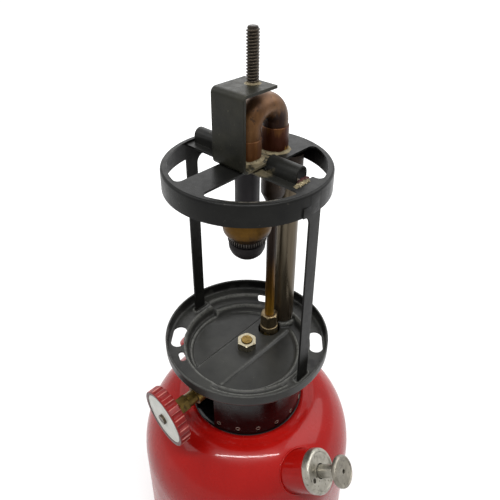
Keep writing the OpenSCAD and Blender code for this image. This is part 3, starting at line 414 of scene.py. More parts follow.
def piece(name, grids, body, coat, nodes=(), sharp=CREASE, wear_and_highlight=None):
    """One object from several grids in millimetres, with its doubles merged, riding on a body."""
    starts = np.cumsum([0] + [len(points) for points, _ in grids[:-1]])
    points = np.concatenate([points for points, _ in grids]) * MM
    quads = np.concatenate([quads + start for (_, quads), start in zip(grids, starts)])
    mesh = bpy.data.meshes.new(name)
    mesh.from_pydata(points.tolist(), [], quads.tolist())
    if wear_and_highlight is not None:
        mesh.attributes.new("wear_and_highlight", "FLOAT", "POINT").data.foreach_set("value", wear_and_highlight.ravel().astype(np.float32))
    work = bmesh.new()
    work.from_mesh(mesh)
    bmesh.ops.remove_doubles(work, verts=work.verts, dist=MERGE)
    bmesh.ops.dissolve_degenerate(work, edges=work.edges, dist=SLIVER)
    bmesh.ops.delete(work, geom=[v for v in work.verts if not v.link_faces], context="VERTS")
    work.to_mesh(mesh)
    work.free()
    return dress(name, mesh, body, coat, nodes, sharp)


def dress(name, mesh, body, coat, nodes, sharp):
    """Gives a finished mesh its object, its smooth shading up to a crease angle, its finish and its body."""
    mesh.polygons.foreach_set("use_smooth", np.ones(len(mesh.polygons), bool))
    mesh.set_sharp_from_angle(angle=math.radians(sharp))
    mesh.materials.clear()
    mesh.materials.append(coat)
    thing = bpy.data.objects.new(name, mesh)
    scene.collection.objects.link(thing)
    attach(thing, body)
    if nodes:
        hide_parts(*nodes)
    print(name, "has", len(mesh.polygons), "faces")
    return thing


TINY_RADIUS, SAME_POINT = 1e-7, 1e-3


def rounded(corners, radii, closed=True, steps=6):
    """Outline with arcs: one of radius q at a turn a touches both sides q * tan(a / 2) from the corner."""
    corner = np.asarray(corners, float)
    q = np.maximum(np.asarray(radii, float), TINY_RADIUS)
    if not closed:
        q[0] = q[-1] = TINY_RADIUS
    before = corner - np.roll(corner, 1, 0)
    after = np.roll(corner, -1, 0) - corner
    before /= np.linalg.norm(before, axis=1)[:, None]
    after /= np.linalg.norm(after, axis=1)[:, None]
    a = np.arctan2(before[:, 0] * after[:, 1] - before[:, 1] * after[:, 0], (before * after).sum(1))
    if not closed:
        a[0] = a[-1] = 0
    side = np.sign(a) + (a == 0)
    start = corner - before * (q * np.tan(np.abs(a) / 2))[:, None]
    normal = np.stack([-before[:, 1], before[:, 0]], 1) * side[:, None]
    centre = start + normal * q[:, None]
    t = a[:, None] * np.linspace(0, 1, steps)
    arm = -normal * q[:, None]
    x = centre[:, 0, None] + arm[:, 0, None] * np.cos(t) - arm[:, 1, None] * np.sin(t)
    y = centre[:, 1, None] + arm[:, 0, None] * np.sin(t) + arm[:, 1, None] * np.cos(t)
    outline = np.stack([x, y], -1).reshape(-1, 2)
    apart = np.linalg.norm(outline - np.roll(outline, 1, 0), axis=1) > SAME_POINT
    return outline[apart]


def ring_section(inner, outer, low, high, foot=0.0, edge=0.0, bore=0.0):
    """Section of a plain ring, with its outer foot, its outer edge and its bore's edge rounded."""
    return rounded([[inner, low], [outer, low], [outer, high], [inner, high]], [0, foot, edge, bore])


def stand(x=0.0, y=0.0):
    """Place of an upright piece: its foot point and its three axes."""
    return np.array([x, y, 0.0]), np.eye(3)


def tilted(azimuth, lean, r, z, swing=0.0):
    """Place of a piece seated at radius r and height z, whose axis leans from upright and is swung about the seat."""
    seat, a, t = math.radians(azimuth), math.radians(azimuth + swing), math.radians(lean)
    ex = np.array([math.cos(t) * math.cos(a), math.cos(t) * math.sin(a), -math.sin(t)])
    ey = np.array([-math.sin(a), math.cos(a), 0.0])
    ez = np.array([math.sin(t) * math.cos(a), math.sin(t) * math.sin(a), math.cos(t)])
    return np.array([r * math.cos(seat), r * math.sin(seat), z]), np.array([ex, ey, ez])


def pointing_out(swing, droop, z):
    """Place on the upright axis whose third axis points out along -Y, swung about the upright and drooping."""
    a, d = math.radians(swing), math.radians(droop)
    ex = np.array([math.cos(a), math.sin(a), 0.0])
    ey = np.array([math.sin(a) * math.sin(d), -math.cos(a) * math.sin(d), math.cos(d)])
    return np.array([0.0, 0.0, z]), np.array([ex, ey, np.cross(ex, ey)])


def placed(local, place):
    """Local points carried to their place: foot + x times the first axis + y times the second + z times the third."""
    foot, axes = place
    return foot + local @ axes


def ring_angles(count):
    """Evenly spaced angles of one turn, without the last one that would repeat the first."""
    return np.linspace(0, FULL_TURN, count, endpoint=False)


def lathe(profile, place, count=96, closed=True, radius=None):
    """Turned surface: each (r, z) of a profile goes round to (r cos a, r sin a, z); radius may change r by angle."""
    a = ring_angles(count)
    r = profile[:, :1] + 0 * a
    z = profile[:, 1:] + 0 * a
    if radius is not None:
        r = radius(r, z, a)
    return surface(placed(polar(r, a, z), place), wrap_rows=closed)


def smooth(x, low, high):
    """Ramp from 0 at low to 1 at high that starts and ends gently: 3 t t - 2 t t t."""
    t = np.clip((x - low) / (high - low), 0, 1)
    return t * t * (3 - 2 * t)


def hump(x, middle, width):
    """Bell of height 1: exp of minus the squared distance from the middle over the width."""
    return np.exp(-((x - middle) / width) ** 2)


def waves(t, rows):
    """Sum of sine waves: the height times the sine of (often times t, plus the start), for each row."""
    return sum(height * np.sin(often * t + start) for height, often, start in rows)


def thicken(thing, thickness):
    """Gives a sheet its thickness on the inside, so that its outer face stays on the grid."""
    sheet = thing.modifiers.new("sheet", "SOLIDIFY")
    sheet.thickness = thickness * MM
    sheet.offset = -1
    return sheet


SEAT_R, SHOULDER_RUN, WALL_TOP, SHOULDER_DROP = 36.5, 30.7, 66.5, 41.0


def seat_on_shoulder(share):
    """Radius and height of a seat across the tank's shoulder, which is a quarter of an ellipse."""
    return SEAT_R + share * SHOULDER_RUN, WALL_TOP + SHOULDER_DROP * math.sqrt(1 - share * share)


VALVE_SWING, VALVE_DROOP, VALVE_Z = -5.6, 4.6, 135.6
PUMP_AT, PUMP_LEAN, PUMP_SHARE, PUMP_SWING = -14, 54, 0.7, 28.5
FILLER_AT, FILLER_LEAN, FILLER_SHARE = 176, 30, 0.407
VALVE = pointing_out(VALVE_SWING, VALVE_DROOP, VALVE_Z)
PUMP = tilted(PUMP_AT, PUMP_LEAN, *seat_on_shoulder(PUMP_SHARE), swing=PUMP_SWING)
FILLER = tilted(FILLER_AT, FILLER_LEAN, *seat_on_shoulder(FILLER_SHARE))
print("pump seat", np.round(PUMP[0], 2), "filler seat", np.round(FILLER[0], 2))

# %% [markdown]
# ## The tank
# The tank was drawn from one sheet, so its wall runs into the shoulder with no seam. A turned profile gives it:
# a straight wall, a quarter ellipse, a shallow dish round the collar. Points near a hole are moved onto its
# edge and the cells inside are dropped, and Solidify then gives the sheet its thickness and the holes a wall.

# %% Tank
def from_axis(points, place):
    """Points in a piece's own axes, and how far each is from the third of them."""
    foot, axes = place
    local = (points - foot) @ axes.T
    return local, np.hypot(local[..., 0], local[..., 1])


def cells(values):
    """Mean of each cell's four corners on a grid that wraps round its columns."""
    wide = np.concatenate([values, values[:, :1]], 1).astype(float)
    return (wide[:-1, :-1] + wide[:-1, 1:] + wide[1:, 1:] + wide[1:, :-1]) / 4


NOT_ZERO = 1e-6


def onto_edge(points, place, radius, reach):
    """Points within reach of a round hole's wall are moved straight out from its axis onto that wall."""
    local, d = from_axis(points, place)
    scale = np.where(np.abs(d - radius) < reach, radius / np.maximum(d, NOT_ZERO), 1.0)
    local[..., :2] *= scale[..., None]
    return placed(local, place)


TANK_R, TANK_TOP, SHEET_T = SEAT_R + SHOULDER_RUN, 107.5, 1.0
DISH, CREST = (39.2, 2.2), (43.5, 2.6)
DISH_DEPTH, CREST_RISE, TOP_HOLE, FOOT_TOP = 0.4, 0.18, 6.1, 1.2
TANK_COLUMNS, SHOULDER_ROWS, WALL_ROWS, TOP_ROWS = 360, 76, 16, 10
swing = np.linspace(math.pi / 2, 0, SHOULDER_ROWS)[1:]
shoulder = np.stack([SEAT_R + SHOULDER_RUN * np.sin(swing), WALL_TOP + SHOULDER_DROP * np.cos(swing)], 1)
shoulder[:, 1] += CREST_RISE * hump(shoulder[:, 0], *CREST) - DISH_DEPTH * hump(shoulder[:, 0], *DISH)
wall = np.stack([np.full(WALL_ROWS, TANK_R), np.linspace(FOOT_TOP, WALL_TOP, WALL_ROWS)], 1)
foot_edge = np.array([[TANK_R - 0.9, 0.0], [TANK_R - 0.25, 0.35]])
top = np.stack([np.linspace(SEAT_R - 2, TOP_HOLE, TOP_ROWS), np.full(TOP_ROWS, TANK_TOP)], 1)
tank_profile = np.concatenate([foot_edge, wall, shoulder, top[:1]])
tank = polar(tank_profile[:, :1], ring_angles(TANK_COLUMNS), tank_profile[:, 1:])
NECK_HOLE, BOSS_HOLE, HOLE_REACH, HOLE_DEPTH = 9.4, 11.4, 0.45, 25
ON_EDGE, MOSTLY = 0.01, 0.6
outside = np.ones(tank.shape[:2], bool)
for seat, hole in ((FILLER, NECK_HOLE), (PUMP, BOSS_HOLE)):
    this_side = ((tank - seat[0]) @ seat[1][2]) > -HOLE_DEPTH
    tank = np.where(this_side[..., None], onto_edge(tank, seat, hole, HOLE_REACH), tank)
    outside &= ~this_side | (from_axis(tank, seat)[1] > hole - ON_EDGE)
tank_piece = piece("tank", [surface(tank, keep=cells(outside) > MOSTLY)], "lantern", red_enamel,
                   ["fount_shell"])
# Inside the collar the tank's top is as black as the collar.
top_grid = lathe(top, stand(), TANK_COLUMNS, closed=False)
top_piece = piece("tank_top", [top_grid], "lantern", gloss_black)
for thing in (tank_piece, top_piece):
    thicken(thing, SHEET_T)

# %% [markdown]
# ## The pump
# The boss is a short tube soldered into the shoulder, and the solder stands as a thin bead round its foot.
# The bead has to follow the curved shoulder: for each angle round the boss a bisection finds where the tube
# meets the ellipse. The cap and the thumb knob are turned, with the oil hole cut by the same edge rule.

# %% Pump boss
SPAN_LOW, SPAN_HIGH, HALVINGS, NOWHERE = -16.0, 14.0, 40, -99.0


def shoulder_meets(place, radius, count):
    """Height along a tilted axis at which a tube meets the shoulder, for each angle, by halving a span."""
    a = ring_angles(count)
    low, high = np.full(count, SPAN_LOW), np.full(count, SPAN_HIGH)
    for _ in range(HALVINGS):
        middle = (low + high) / 2
        at = placed(polar(radius, a, middle), place)
        r = np.hypot(at[:, 0], at[:, 1])
        share = np.clip((r - SEAT_R) / SHOULDER_RUN, 0, 1)
        skin = np.where(r < TANK_R, WALL_TOP + SHOULDER_DROP * np.sqrt(1 - share ** 2), NOWHERE)
        above = at[:, 2] > skin
        high, low = np.where(above, middle, high), np.where(above, low, middle)
    return a, (low + high) / 2


BOSS_R, BOSS_IN, BOSS_TOP, BOSS_BORE = 11.6, -8.5, 9.5, 9.6
BEAD_R, BEAD_HALF, BOSS_COLUMNS, BEAD_ROWS = 12.15, 0.5, 144, 14
boss = ring_section(BOSS_BORE, BOSS_R, BOSS_IN, BOSS_TOP, edge=0.5, bore=0.2)
around, meets = shoulder_meets(PUMP, BEAD_R, BOSS_COLUMNS)
tube_turn = ring_angles(BEAD_ROWS)[:, None]
bead = polar(BEAD_R + BEAD_HALF * np.cos(tube_turn), around, meets + BEAD_HALF * np.sin(tube_turn))
boss_grids = [lathe(boss, PUMP, BOSS_COLUMNS), surface(placed(bead, PUMP), wrap_rows=True)]
piece("pump_boss_dressed", boss_grids, "lantern", red_enamel, ["pump_boss"])

# %% Pump cap and knob
CAP_R, CAP_TOP, CAP_FACE, CAP_BORE = 11.9, 14.4, 13.8, 4.0
OIL_AT, OIL_TURN, OIL_R, OIL_FLOOR, OIL_REACH = 7.5, math.radians(-98), 1.4, 10.6, 0.16
CAP_COLUMNS, FACE_ROWS = 160, 30
LIP_IN, FACE_R = 10.0, 9.2
rim = rounded([[CAP_BORE, BOSS_TOP], [CAP_R, BOSS_TOP], [CAP_R, CAP_TOP], [LIP_IN, CAP_TOP], [9.6, CAP_FACE],
               [FACE_R, CAP_FACE]], [0, 0.5, 1.6, 0.5, 0.3, 0], closed=False)
face_r = np.linspace(FACE_R, CAP_BORE, FACE_ROWS)[:, None]
face = polar(face_r, ring_angles(CAP_COLUMNS), CAP_FACE)
oil_point = OIL_AT * np.array([math.cos(OIL_TURN), math.sin(OIL_TURN), 0.0])
oil_place = (oil_point, np.eye(3))
face = onto_edge(face, oil_place, OIL_R, OIL_REACH)
open_face = cells(from_axis(face, oil_place)[1] > OIL_R - ON_EDGE) > MOSTLY
bore_wall = np.array([[CAP_BORE, CAP_FACE], [CAP_BORE, BOSS_TOP]])
cap_grids = [lathe(rim, PUMP, CAP_COLUMNS, closed=False), surface(placed(face, PUMP), keep=open_face),
             lathe(bore_wall, PUMP, CAP_COLUMNS, closed=False)]
cap_piece = piece("pump_cap_dressed", cap_grids, "lantern", lit_zinc, ["pump_cap"])
# The only open edge left is the oil hole: it is pulled down to the hole's floor and filled there.
work = bmesh.new()
work.from_mesh(cap_piece.data)
pulled = bmesh.ops.extrude_edge_only(work, edges=[e for e in work.edges if e.is_boundary])["geom"]
depth = Vector(PUMP[1][2]) * (OIL_FLOOR - CAP_FACE) * MM
bmesh.ops.translate(work, vec=depth, verts=[v for v in pulled if isinstance(v, bmesh.types.BMVert)])
bmesh.ops.holes_fill(work, edges=[e for e in work.edges if e.is_boundary])
work.to_mesh(cap_piece.data)
work.free()
cap_piece.data.set_sharp_from_angle(angle=math.radians(CREASE))

KNOB_FOOT, KNOB_FACE, KNOB_R, THUMB_R, THUMB_FLOOR = 25.4, 29.7, 8.25, 1.1, 27.3
knob = rounded([[0, KNOB_FOOT], [4.5, KNOB_FOOT], [7.1, KNOB_FOOT + 0.8], [KNOB_R, KNOB_FOOT + 1.8],
                [KNOB_R, KNOB_FACE], [6.9, KNOB_FACE], [6.6, KNOB_FACE - 0.3], [THUMB_R, KNOB_FACE - 0.3],
                [THUMB_R, THUMB_FLOOR], [0, THUMB_FLOOR]],
               [0, 0.4, 0.8, 0.9, 1.2, 0.15, 0.15, 0.25, 0, 0], closed=False)
piece("pump_knob_dressed", [lathe(knob, PUMP, 96, closed=False)], "plunger", shaded_zinc, ["pump_knob"])

# %% [markdown]
# ## The filler cap
# A filler cap has a ridged edge for the fingers. Its radius is the cap's radius less a shallow groove that
# repeats round the edge, and the grooves fade out where the top rounds over, so one grid makes the whole cap.

# %% Filler cap
FILLER_CAP_R, FILLER_CAP_IN, FILLER_RIDGES, RIDGE_DEPTH = 11.1, 9.75, 24, 0.45
SKIRT_FOOT, CAP_CEILING, CAP_CROWN, FILLER_COLUMNS = 1.2, 7.05, 10.65, 240
GROOVE_START, GROOVE_END, SIDE_LOW, SIDE_HIGH, SIDE_ROWS = (1.3, 2.2), (8.4, 9.4), 1.5, 9.2, 12


def ridged(r, z, a):
    """Radius less a groove that repeats round the edge and fades towards the top and the foot."""
    fade = smooth(z, *GROOVE_START) * (1 - smooth(z, *GROOVE_END)) * (r > FILLER_CAP_IN + 0.5)
    return r - RIDGE_DEPTH * fade * (0.5 - 0.5 * np.cos(FILLER_RIDGES * a)) ** 2


cap_side = np.stack([np.full(SIDE_ROWS, FILLER_CAP_R), np.linspace(SIDE_LOW, SIDE_HIGH, SIDE_ROWS)], 1)
cap_rows = np.concatenate([[[FILLER_CAP_IN, SKIRT_FOOT], [10.9, SKIRT_FOOT]], cap_side,
                           [[10.9, 9.9], [10.3, 10.4], [9.3, CAP_CROWN], [6.0, 10.45], [0.0, 10.4]]])
cap_inside = np.array([[0.0, CAP_CEILING], [FILLER_CAP_IN, CAP_CEILING], [FILLER_CAP_IN, SKIRT_FOOT]])
piece("filler_cap_dressed", [lathe(cap_rows, FILLER, FILLER_COLUMNS, closed=False, radius=ridged),
                             lathe(cap_inside, FILLER, FILLER_COLUMNS, closed=False)],
      "filler_cap", red_enamel, ["filler_cap"])

# %% [markdown]
# ## The base plate
# The globe stands on this pressed pan. The press left a floor with two half-moons, wide terraces at the back and
# the front, one steep wall at the sides, a lip round each leg slot and a ledge up to a rolled rim. All of that is
# one height function of the place, read on a polar grid, and every hole is a signed distance that the grid is
# snapped to.

# %% Pan height
FLOOR_Z, STEP_RISE, LEDGE_RISE, RIM_RISE = 145.1, 2.7, 5.3, 12.0
PAN_R, PAN_T, FLOOR_T, RIM_CORNER = 48.0, 0.9, 2.0, 1.5
BAND_HALF, MOON_R, MOON_Y, MOON_DEPTH = 10.0, 31.2, -2.0, 1.2
GENERATOR_Y, AIR_Y, LEG_X = 20.3, 33.5, 41.65
SIDE_WALL, MOON_EDGE, AIR_PAD = (34.6, 37.2), (-0.8, 0.6), (8.2, 9.6)
BACK_STEP, BACK_WALL, BACK_SECTOR = (30.6, 32.8), (38.0, 40.3), (93, 170, 4)
FRONT_STEP, FRONT_WALL, FRONT_SECTOR = (33.8, 35.6), (38.8, 40.6), (-74, -14, 7)
# Each bead has its height, the radius of its middle and its width.
BACK_BEADS = ((0.5, 33.6, 1.1), (0.45, 41.2, 1.1))
FRONT_BEADS = ((0.5, 36.4, 0.8), (-0.3, 33.2, 0.7))
MOON_LIP, LEG_LIP, LIP_FORM = 0.4, 0.6, (1.2, 0.5)
LEG_IN, LEG_HALF, MOON_FADE, LEG_FADE = 0.55, (0.85, 4.1), (10, 13), (36, 38)


def sector(a, start, stop, soft):
    """One between two angles in degrees and zero outside, with soft ends."""
    middle, half = (start + stop) / 2, (stop - start) / 2
    off = np.abs((np.degrees(a) - middle + 180) % 360 - 180)
    return 1 - smooth(off, half - soft / 2, half + soft / 2)


def box_distance(u, v, half_u, half_v):
    """Distance outside a rectangle, zero inside it."""
    return np.hypot(np.maximum(np.abs(u) - half_u, 0), np.maximum(np.abs(v) - half_v, 0))


def pan_height(x, y):
    """Floor, plus one wall or a terrace up to the ledge by the angle, less the half-moons, plus the raised lips."""
    r, a = np.hypot(x, y), np.arctan2(y, x)
    wall = LEDGE_RISE * smooth(r, *SIDE_WALL)
    back_terrace = STEP_RISE * smooth(r, *BACK_STEP) + (LEDGE_RISE - STEP_RISE) * smooth(r, *BACK_WALL)
    front_terrace = STEP_RISE * smooth(r, *FRONT_STEP) + (LEDGE_RISE - STEP_RISE) * smooth(r, *FRONT_WALL)
    back, front = sector(a, *BACK_SECTOR), sector(a, *FRONT_SECTOR)
    z = FLOOR_Z + wall + (back_terrace - wall) * back + (front_terrace - wall) * front
    moon = np.maximum(np.hypot(x, y - MOON_Y) - MOON_R, BAND_HALF - np.abs(x))
    z = z - MOON_DEPTH * (1 - smooth(moon, *MOON_EDGE))
    pad = 1 - smooth(np.hypot(x, y - AIR_Y), *AIR_PAD)
    z = z + pad * np.maximum(FLOOR_Z + STEP_RISE - z, 0)
    beads = sum(share * height * hump(r, middle, width) for share, rows in ((back, BACK_BEADS), (front, FRONT_BEADS))
                for height, middle, width in rows)
    moon_lip = MOON_LIP * hump(moon, *LIP_FORM) * (1 - back) * (1 - front) * smooth(np.abs(x), *MOON_FADE)
    leg_box = box_distance(np.abs(x) - LEG_X + LEG_IN, y, *LEG_HALF)
    return z + beads + moon_lip + LEG_LIP * hump(leg_box, *LIP_FORM) * smooth(r, *LEG_FADE)


# %% Pan holes
# Each slot has the radius of its middle, its length and its width.
LIGHT_HOLE = (41.0, 16.8, 8.2)
DRAIN_HOLE = (39.7, 7.4, 3.6)
LIGHT_ANGLES, DRAIN_ANGLES = (40, 220), (117, -117)
CENTRE_HOLE, GENERATOR_HOLE, AIR_HOLE = 3.5, 6.6, 6.55


def slot_distance(x, y, angle, at, length, width):
    """Signed distance to a round-ended slot centred at a radius, long across the radius at that angle."""
    c, s = math.cos(math.radians(angle)), math.sin(math.radians(angle))
    u, v = x * c + y * s - at, y * c - x * s
    return np.hypot(u, np.maximum(np.abs(v) - (length - width) / 2, 0)) - width / 2


def pan_holes(x, y):
    """Signed distance to the nearest hole of the pan."""
    rounds = [np.hypot(x, y) - CENTRE_HOLE, np.hypot(x, y - GENERATOR_Y) - GENERATOR_HOLE,
              np.hypot(x, y - AIR_Y) - AIR_HOLE]
    slots = [slot_distance(x, y, angle, *LIGHT_HOLE) for angle in LIGHT_ANGLES]
    drains = [slot_distance(x, y, angle, *DRAIN_HOLE) for angle in DRAIN_ANGLES]
    return np.minimum.reduce(rounds + slots + drains)


# %% Base plate
RIM_IN = PAN_R - PAN_T
EDGE_IN, EDGE_OUT, STEP = -0.55, 0.12, 1e-3
WHOLE_CELL, SOME_CELL, PAN_COLUMNS, RISE_ROWS, RISE_FROM = 0.99, 0.01, 480, 6, 2.2
# Rows lie closest where the terraces are: each band has its first radius, its last and its count of rows.
PAN_ROWS = ((0.8, 29.6, 34), (30, 42, 41), (42.4, RIM_IN - RIM_CORNER, 10))
pan_r = np.concatenate([np.linspace(*band) for band in PAN_ROWS])[:, None]
pan_a = ring_angles(PAN_COLUMNS)
px, py = pan_r * np.cos(pan_a), pan_r * np.sin(pan_a)
distance = pan_holes(px, py)
gx = (pan_holes(px + STEP, py) - pan_holes(px - STEP, py)) / (2 * STEP)
gy = (pan_holes(px, py + STEP) - pan_holes(px, py - STEP)) / (2 * STEP)
near_edge = (distance > EDGE_IN) & (distance < EDGE_OUT)
px = px - np.where(near_edge, distance * gx, 0)
py = py - np.where(near_edge, distance * gy, 0)
pan_open = distance > EDGE_IN
pan_sheet = distance > EDGE_OUT
arc = np.linspace(0, math.pi / 2, RISE_ROWS)[1:, None]
corner_r = RIM_IN - RIM_CORNER + RIM_CORNER * np.sin(arc)
corner_z = FLOOR_Z + LEDGE_RISE + RIM_CORNER - RIM_CORNER * np.cos(arc)
wall_z = np.linspace(FLOOR_Z + LEDGE_RISE + RISE_FROM, FLOOR_Z + RIM_RISE, RISE_ROWS)[:, None]
rise_r = np.concatenate([corner_r, np.full_like(wall_z, RIM_IN)])
rise_z = np.concatenate([corner_z, wall_z])
pan = np.concatenate([np.stack([px, py, pan_height(px, py)], -1), polar(rise_r, pan_a, rise_z)])
all_sheet = np.ones((len(rise_r), len(pan_a)))
whole = cells(np.concatenate([pan_open, all_sheet])) > WHOLE_CELL
pan_cells = whole & (cells(np.concatenate([pan_sheet, all_sheet])) > SOME_CELL)
# A painted highlight lies where the sheet is most humped: the mean of four neighbours lies below the point.
HIGHLIGHT_REACH, HIGHLIGHT_DEPTH, RIM_HIGHLIGHT = 1.2, 0.36, 0.3
BAND_SPREAD, BAND_HIGHLIGHT_CUT = 1.6, (0.95, 0.5)
around_xy = sum(pan_height(px + dx, py + dy) for dx, dy in
                ((HIGHLIGHT_REACH, 0), (-HIGHLIGHT_REACH, 0), (0, HIGHLIGHT_REACH), (0, -HIGHLIGHT_REACH))) / 4
wear_highlight = np.clip((pan_height(px, py) - around_xy) / (HIGHLIGHT_DEPTH * HIGHLIGHT_REACH), 0, 1)
# The step beside the middle band is lower than the rest and gets less painted highlight, and the side that
# faces the back almost none.
along_band = hump(np.abs(px), BAND_HALF, BAND_SPREAD) * (np.hypot(px, py) < MOON_R)
wear_highlight *= 1 - along_band * np.where(px < 0, *BAND_HIGHLIGHT_CUT)
# The rim's top row gets a painted highlight too.
rim_highlight = np.zeros((len(rise_r), len(pan_a)))
rim_highlight[-1] = RIM_HIGHLIGHT
pan_highlight = np.concatenate([wear_highlight, rim_highlight])
pan_piece = piece("base_plate_dressed", [surface(pan[::-1], keep=pan_cells[::-1])], "lantern", pan_black,
                  ["base_plate"], sharp=50, wear_and_highlight=pan_highlight[::-1])
pan_co = np.zeros(len(pan_piece.data.vertices) * 3, np.float32)
pan_piece.data.vertices.foreach_get("co", pan_co)
pan_reach = np.hypot(pan_co[0::3], pan_co[1::3]) / MM
thick = pan_piece.vertex_groups.new(name="thick")
# The floor is thicker than the ledge: each band has its two radii and its share of the floor's thickness.
THICK_BANDS = ((0, 35.5, 1.0), (35.5, 36.5, 0.8), (36.5, 37.5, 0.6), (37.5, 99, PAN_T / FLOOR_T))
for low, high, share in THICK_BANDS:
    thick.add(np.flatnonzero((pan_reach >= low) & (pan_reach < high)).tolist(), share, "REPLACE")
thicken(pan_piece, FLOOR_T).vertex_group = "thick"

# %% [markdown]
# ## Nuts
# A nut is a hexagon whose corners were trimmed on a lathe. At each angle its wall is the nearer of the flat and
# a cone, so a single grid gives the flats, the corners and the curved chamfer lines a real nut shows.

# %% Nuts
CONE = (1.6, 0.75, 0, 0, 0.75, 1.6)


def nut(across, low, high, bore, place, count=144, trim=0.8, spin=0.0):
    """Wall at the smaller of (across / 2) / cos(angle from the flat's middle) and a cone that closes at each end."""
    a = ring_angles(count)
    flat = across / 2 / np.cos((a - spin) % (math.pi / 3) - math.pi / 6)
    corner = across / 2 / math.cos(math.pi / 6)
    z = np.array([low, low + trim * 0.5, low + trim, high - trim, high - trim * 0.5, high])
    cone = corner - np.array(CONE) * trim
    r = np.minimum(flat, cone[:, None])
    r = np.concatenate([r, np.full((2, count), bore)])
    z = np.concatenate([z, [high, low]])[:, None]
    return surface(placed(polar(r, a, z), place), wrap_rows=True)


GENERATOR = stand(0, GENERATOR_Y)
FRAME_NUT_TOP, FRAME_NUT_TURN, FRAME_NUT_BORE = 149.7, math.radians(12.7), 3.5
FRAME_FLATS, GENERATOR_FLATS, PACKING_FLATS, NUT_CREASE = 10.6, 9.6, 8.4, 24
SOCKET_FOOT, SOCKET_TOP, SOCKET_R, RISER_R = 141.1, 149.3, 5.6, 4.3
HEX_FOOT, HEX_TOP, TUBE_HOLE = 149.1, 158.1, 2.86
NUT_FOOT, NUT_HEX, NUT_END, NUT_NECK, STEM_HOLE = 40.0, 45.4, 52.4, 3.9, 2.4
frame_hex = nut(FRAME_FLATS, FLOOR_Z, FRAME_NUT_TOP, FRAME_NUT_BORE, stand(), trim=0.3, spin=FRAME_NUT_TURN)
piece("frame_nut_dressed", [frame_hex], "lantern", pale_brass, ["frame_nut"], sharp=NUT_CREASE)
socket = ring_section(RISER_R, SOCKET_R, SOCKET_FOOT, SOCKET_TOP, foot=0.5, edge=0.6)
generator_hex = nut(GENERATOR_FLATS, HEX_FOOT, HEX_TOP, TUBE_HOLE, GENERATOR)
piece("generator_nut_dressed", [lathe(socket, GENERATOR), generator_hex], "lantern", nut_brass,
      ["generator_nut"], sharp=NUT_CREASE)
neck = ring_section(STEM_HOLE, NUT_NECK, NUT_FOOT, NUT_HEX + 0.2)
packing_hex = nut(PACKING_FLATS, NUT_HEX, NUT_END, STEM_HOLE, VALVE)
piece("packing_nut_dressed", [lathe(neck, VALVE), packing_hex], "lantern", olive_brass, ["packing_nut"],
      sharp=NUT_CREASE)

# %% [markdown]
# ## The valve wheel
# The wheel is moulded, with finger flutes across its edge and a pale dial let into its face behind a dark bezel.
# A flute is a round cutter that bites the rim, so the radius is where a ray from the middle meets that cutter's
# circle. The same angles mark the flute's two lips, and the finish paints the red paler there: partly worn paint,
# partly a painted highlight.

# %% Valve wheel, bezel and dial
WHEEL_R, WHEEL_BACK, WHEEL_FACE, FLUTES = 16.9, 54.7, 61.8, 16
CUTTER_R, FLUTE_DEPTH, LIP_AT, LIP_WIDTH = 2.0, 1.35, 1.9, 0.18
HUB_R, STEM_BORE, DIAL_R, DIAL_RECESS, WHEEL_COLUMNS = 4.8, 2.3, 14.9, 1.2, 640
cutter_at = WHEEL_R + CUTTER_R - FLUTE_DEPTH
wheel_a = ring_angles(WHEEL_COLUMNS)
off = ((wheel_a * FLUTES / FULL_TURN + 0.5) % 1 - 0.5) * FULL_TURN / FLUTES
inside = CUTTER_R ** 2 - (cutter_at * np.sin(off)) ** 2
bite = np.where(inside > 0, cutter_at * np.cos(off) - np.sqrt(np.maximum(inside, 0)), WHEEL_R)
fluted = np.minimum(bite, WHEEL_R)
lip_wear_and_highlight = hump(np.abs(off) * WHEEL_R, LIP_AT, LIP_WIDTH)
# Each row of the section is radius, place along the axis, share of the flute and share of the paler lips, which
# are partly worn paint and partly painted highlight.
wheel_rows = np.array([
    [STEM_BORE, WHEEL_BACK, 0, 0], [4.6, WHEEL_BACK, 0, 0], [HUB_R, WHEEL_BACK + 0.3, 0, 0],
    [HUB_R, WHEEL_BACK + 2.4, 0, 0], [11.7, WHEEL_BACK + 2.5, 0, 0], [12.0, WHEEL_BACK + 0.3, 0, 0],
    [12.4, WHEEL_BACK, 0, 0], [15.0, WHEEL_BACK, 0, 0],
    [15.9, WHEEL_BACK + 0.05, 0.4, 0.2], [16.55, WHEEL_BACK + 0.3, 0.85, 0.5], [WHEEL_R, WHEEL_BACK + 0.9, 1, 0.8],
    [WHEEL_R, WHEEL_BACK + 2.4, 1, 1], [WHEEL_R, WHEEL_FACE - 2.4, 1, 1], [WHEEL_R, WHEEL_FACE - 1.3, 1, 0.9],
    [WHEEL_R, WHEEL_FACE - 0.8, 0.5, 0.5], [WHEEL_R, WHEEL_FACE - 0.6, 0, 0.15], [WHEEL_R, WHEEL_FACE - 0.3, 0, 0],
    [16.6, WHEEL_FACE, 0, 0], [16.3, WHEEL_FACE - 0.1, 0, 0], [15.0, WHEEL_FACE - 0.1, 0, 0],
    [15.0, WHEEL_FACE - DIAL_RECESS, 0, 0], [STEM_BORE, WHEEL_FACE - DIAL_RECESS, 0, 0]])
wheel_r = wheel_rows[:, :1] - wheel_rows[:, 2:3] * (WHEEL_R - fluted)
wheel = placed(polar(wheel_r, wheel_a, wheel_rows[:, 1:2]), VALVE)
piece("valve_wheel_dressed", [surface(wheel, wrap_rows=True)], "fuel_valve", knob_red,
      ["valve_wheel"], wear_and_highlight=wheel_rows[:, 3:4] * lip_wear_and_highlight, sharp=30)
bezel = rounded([[14.75, WHEEL_FACE - 0.5], [16.45, WHEEL_FACE - 0.2], [16.4, WHEEL_FACE],
                 [14.75, WHEEL_FACE - 0.15]], [0, 0.1, 0.15, 0.1])
piece("dial_bezel", [lathe(bezel, VALVE, 160)], "fuel_valve", bezel_dark, sharp=50)
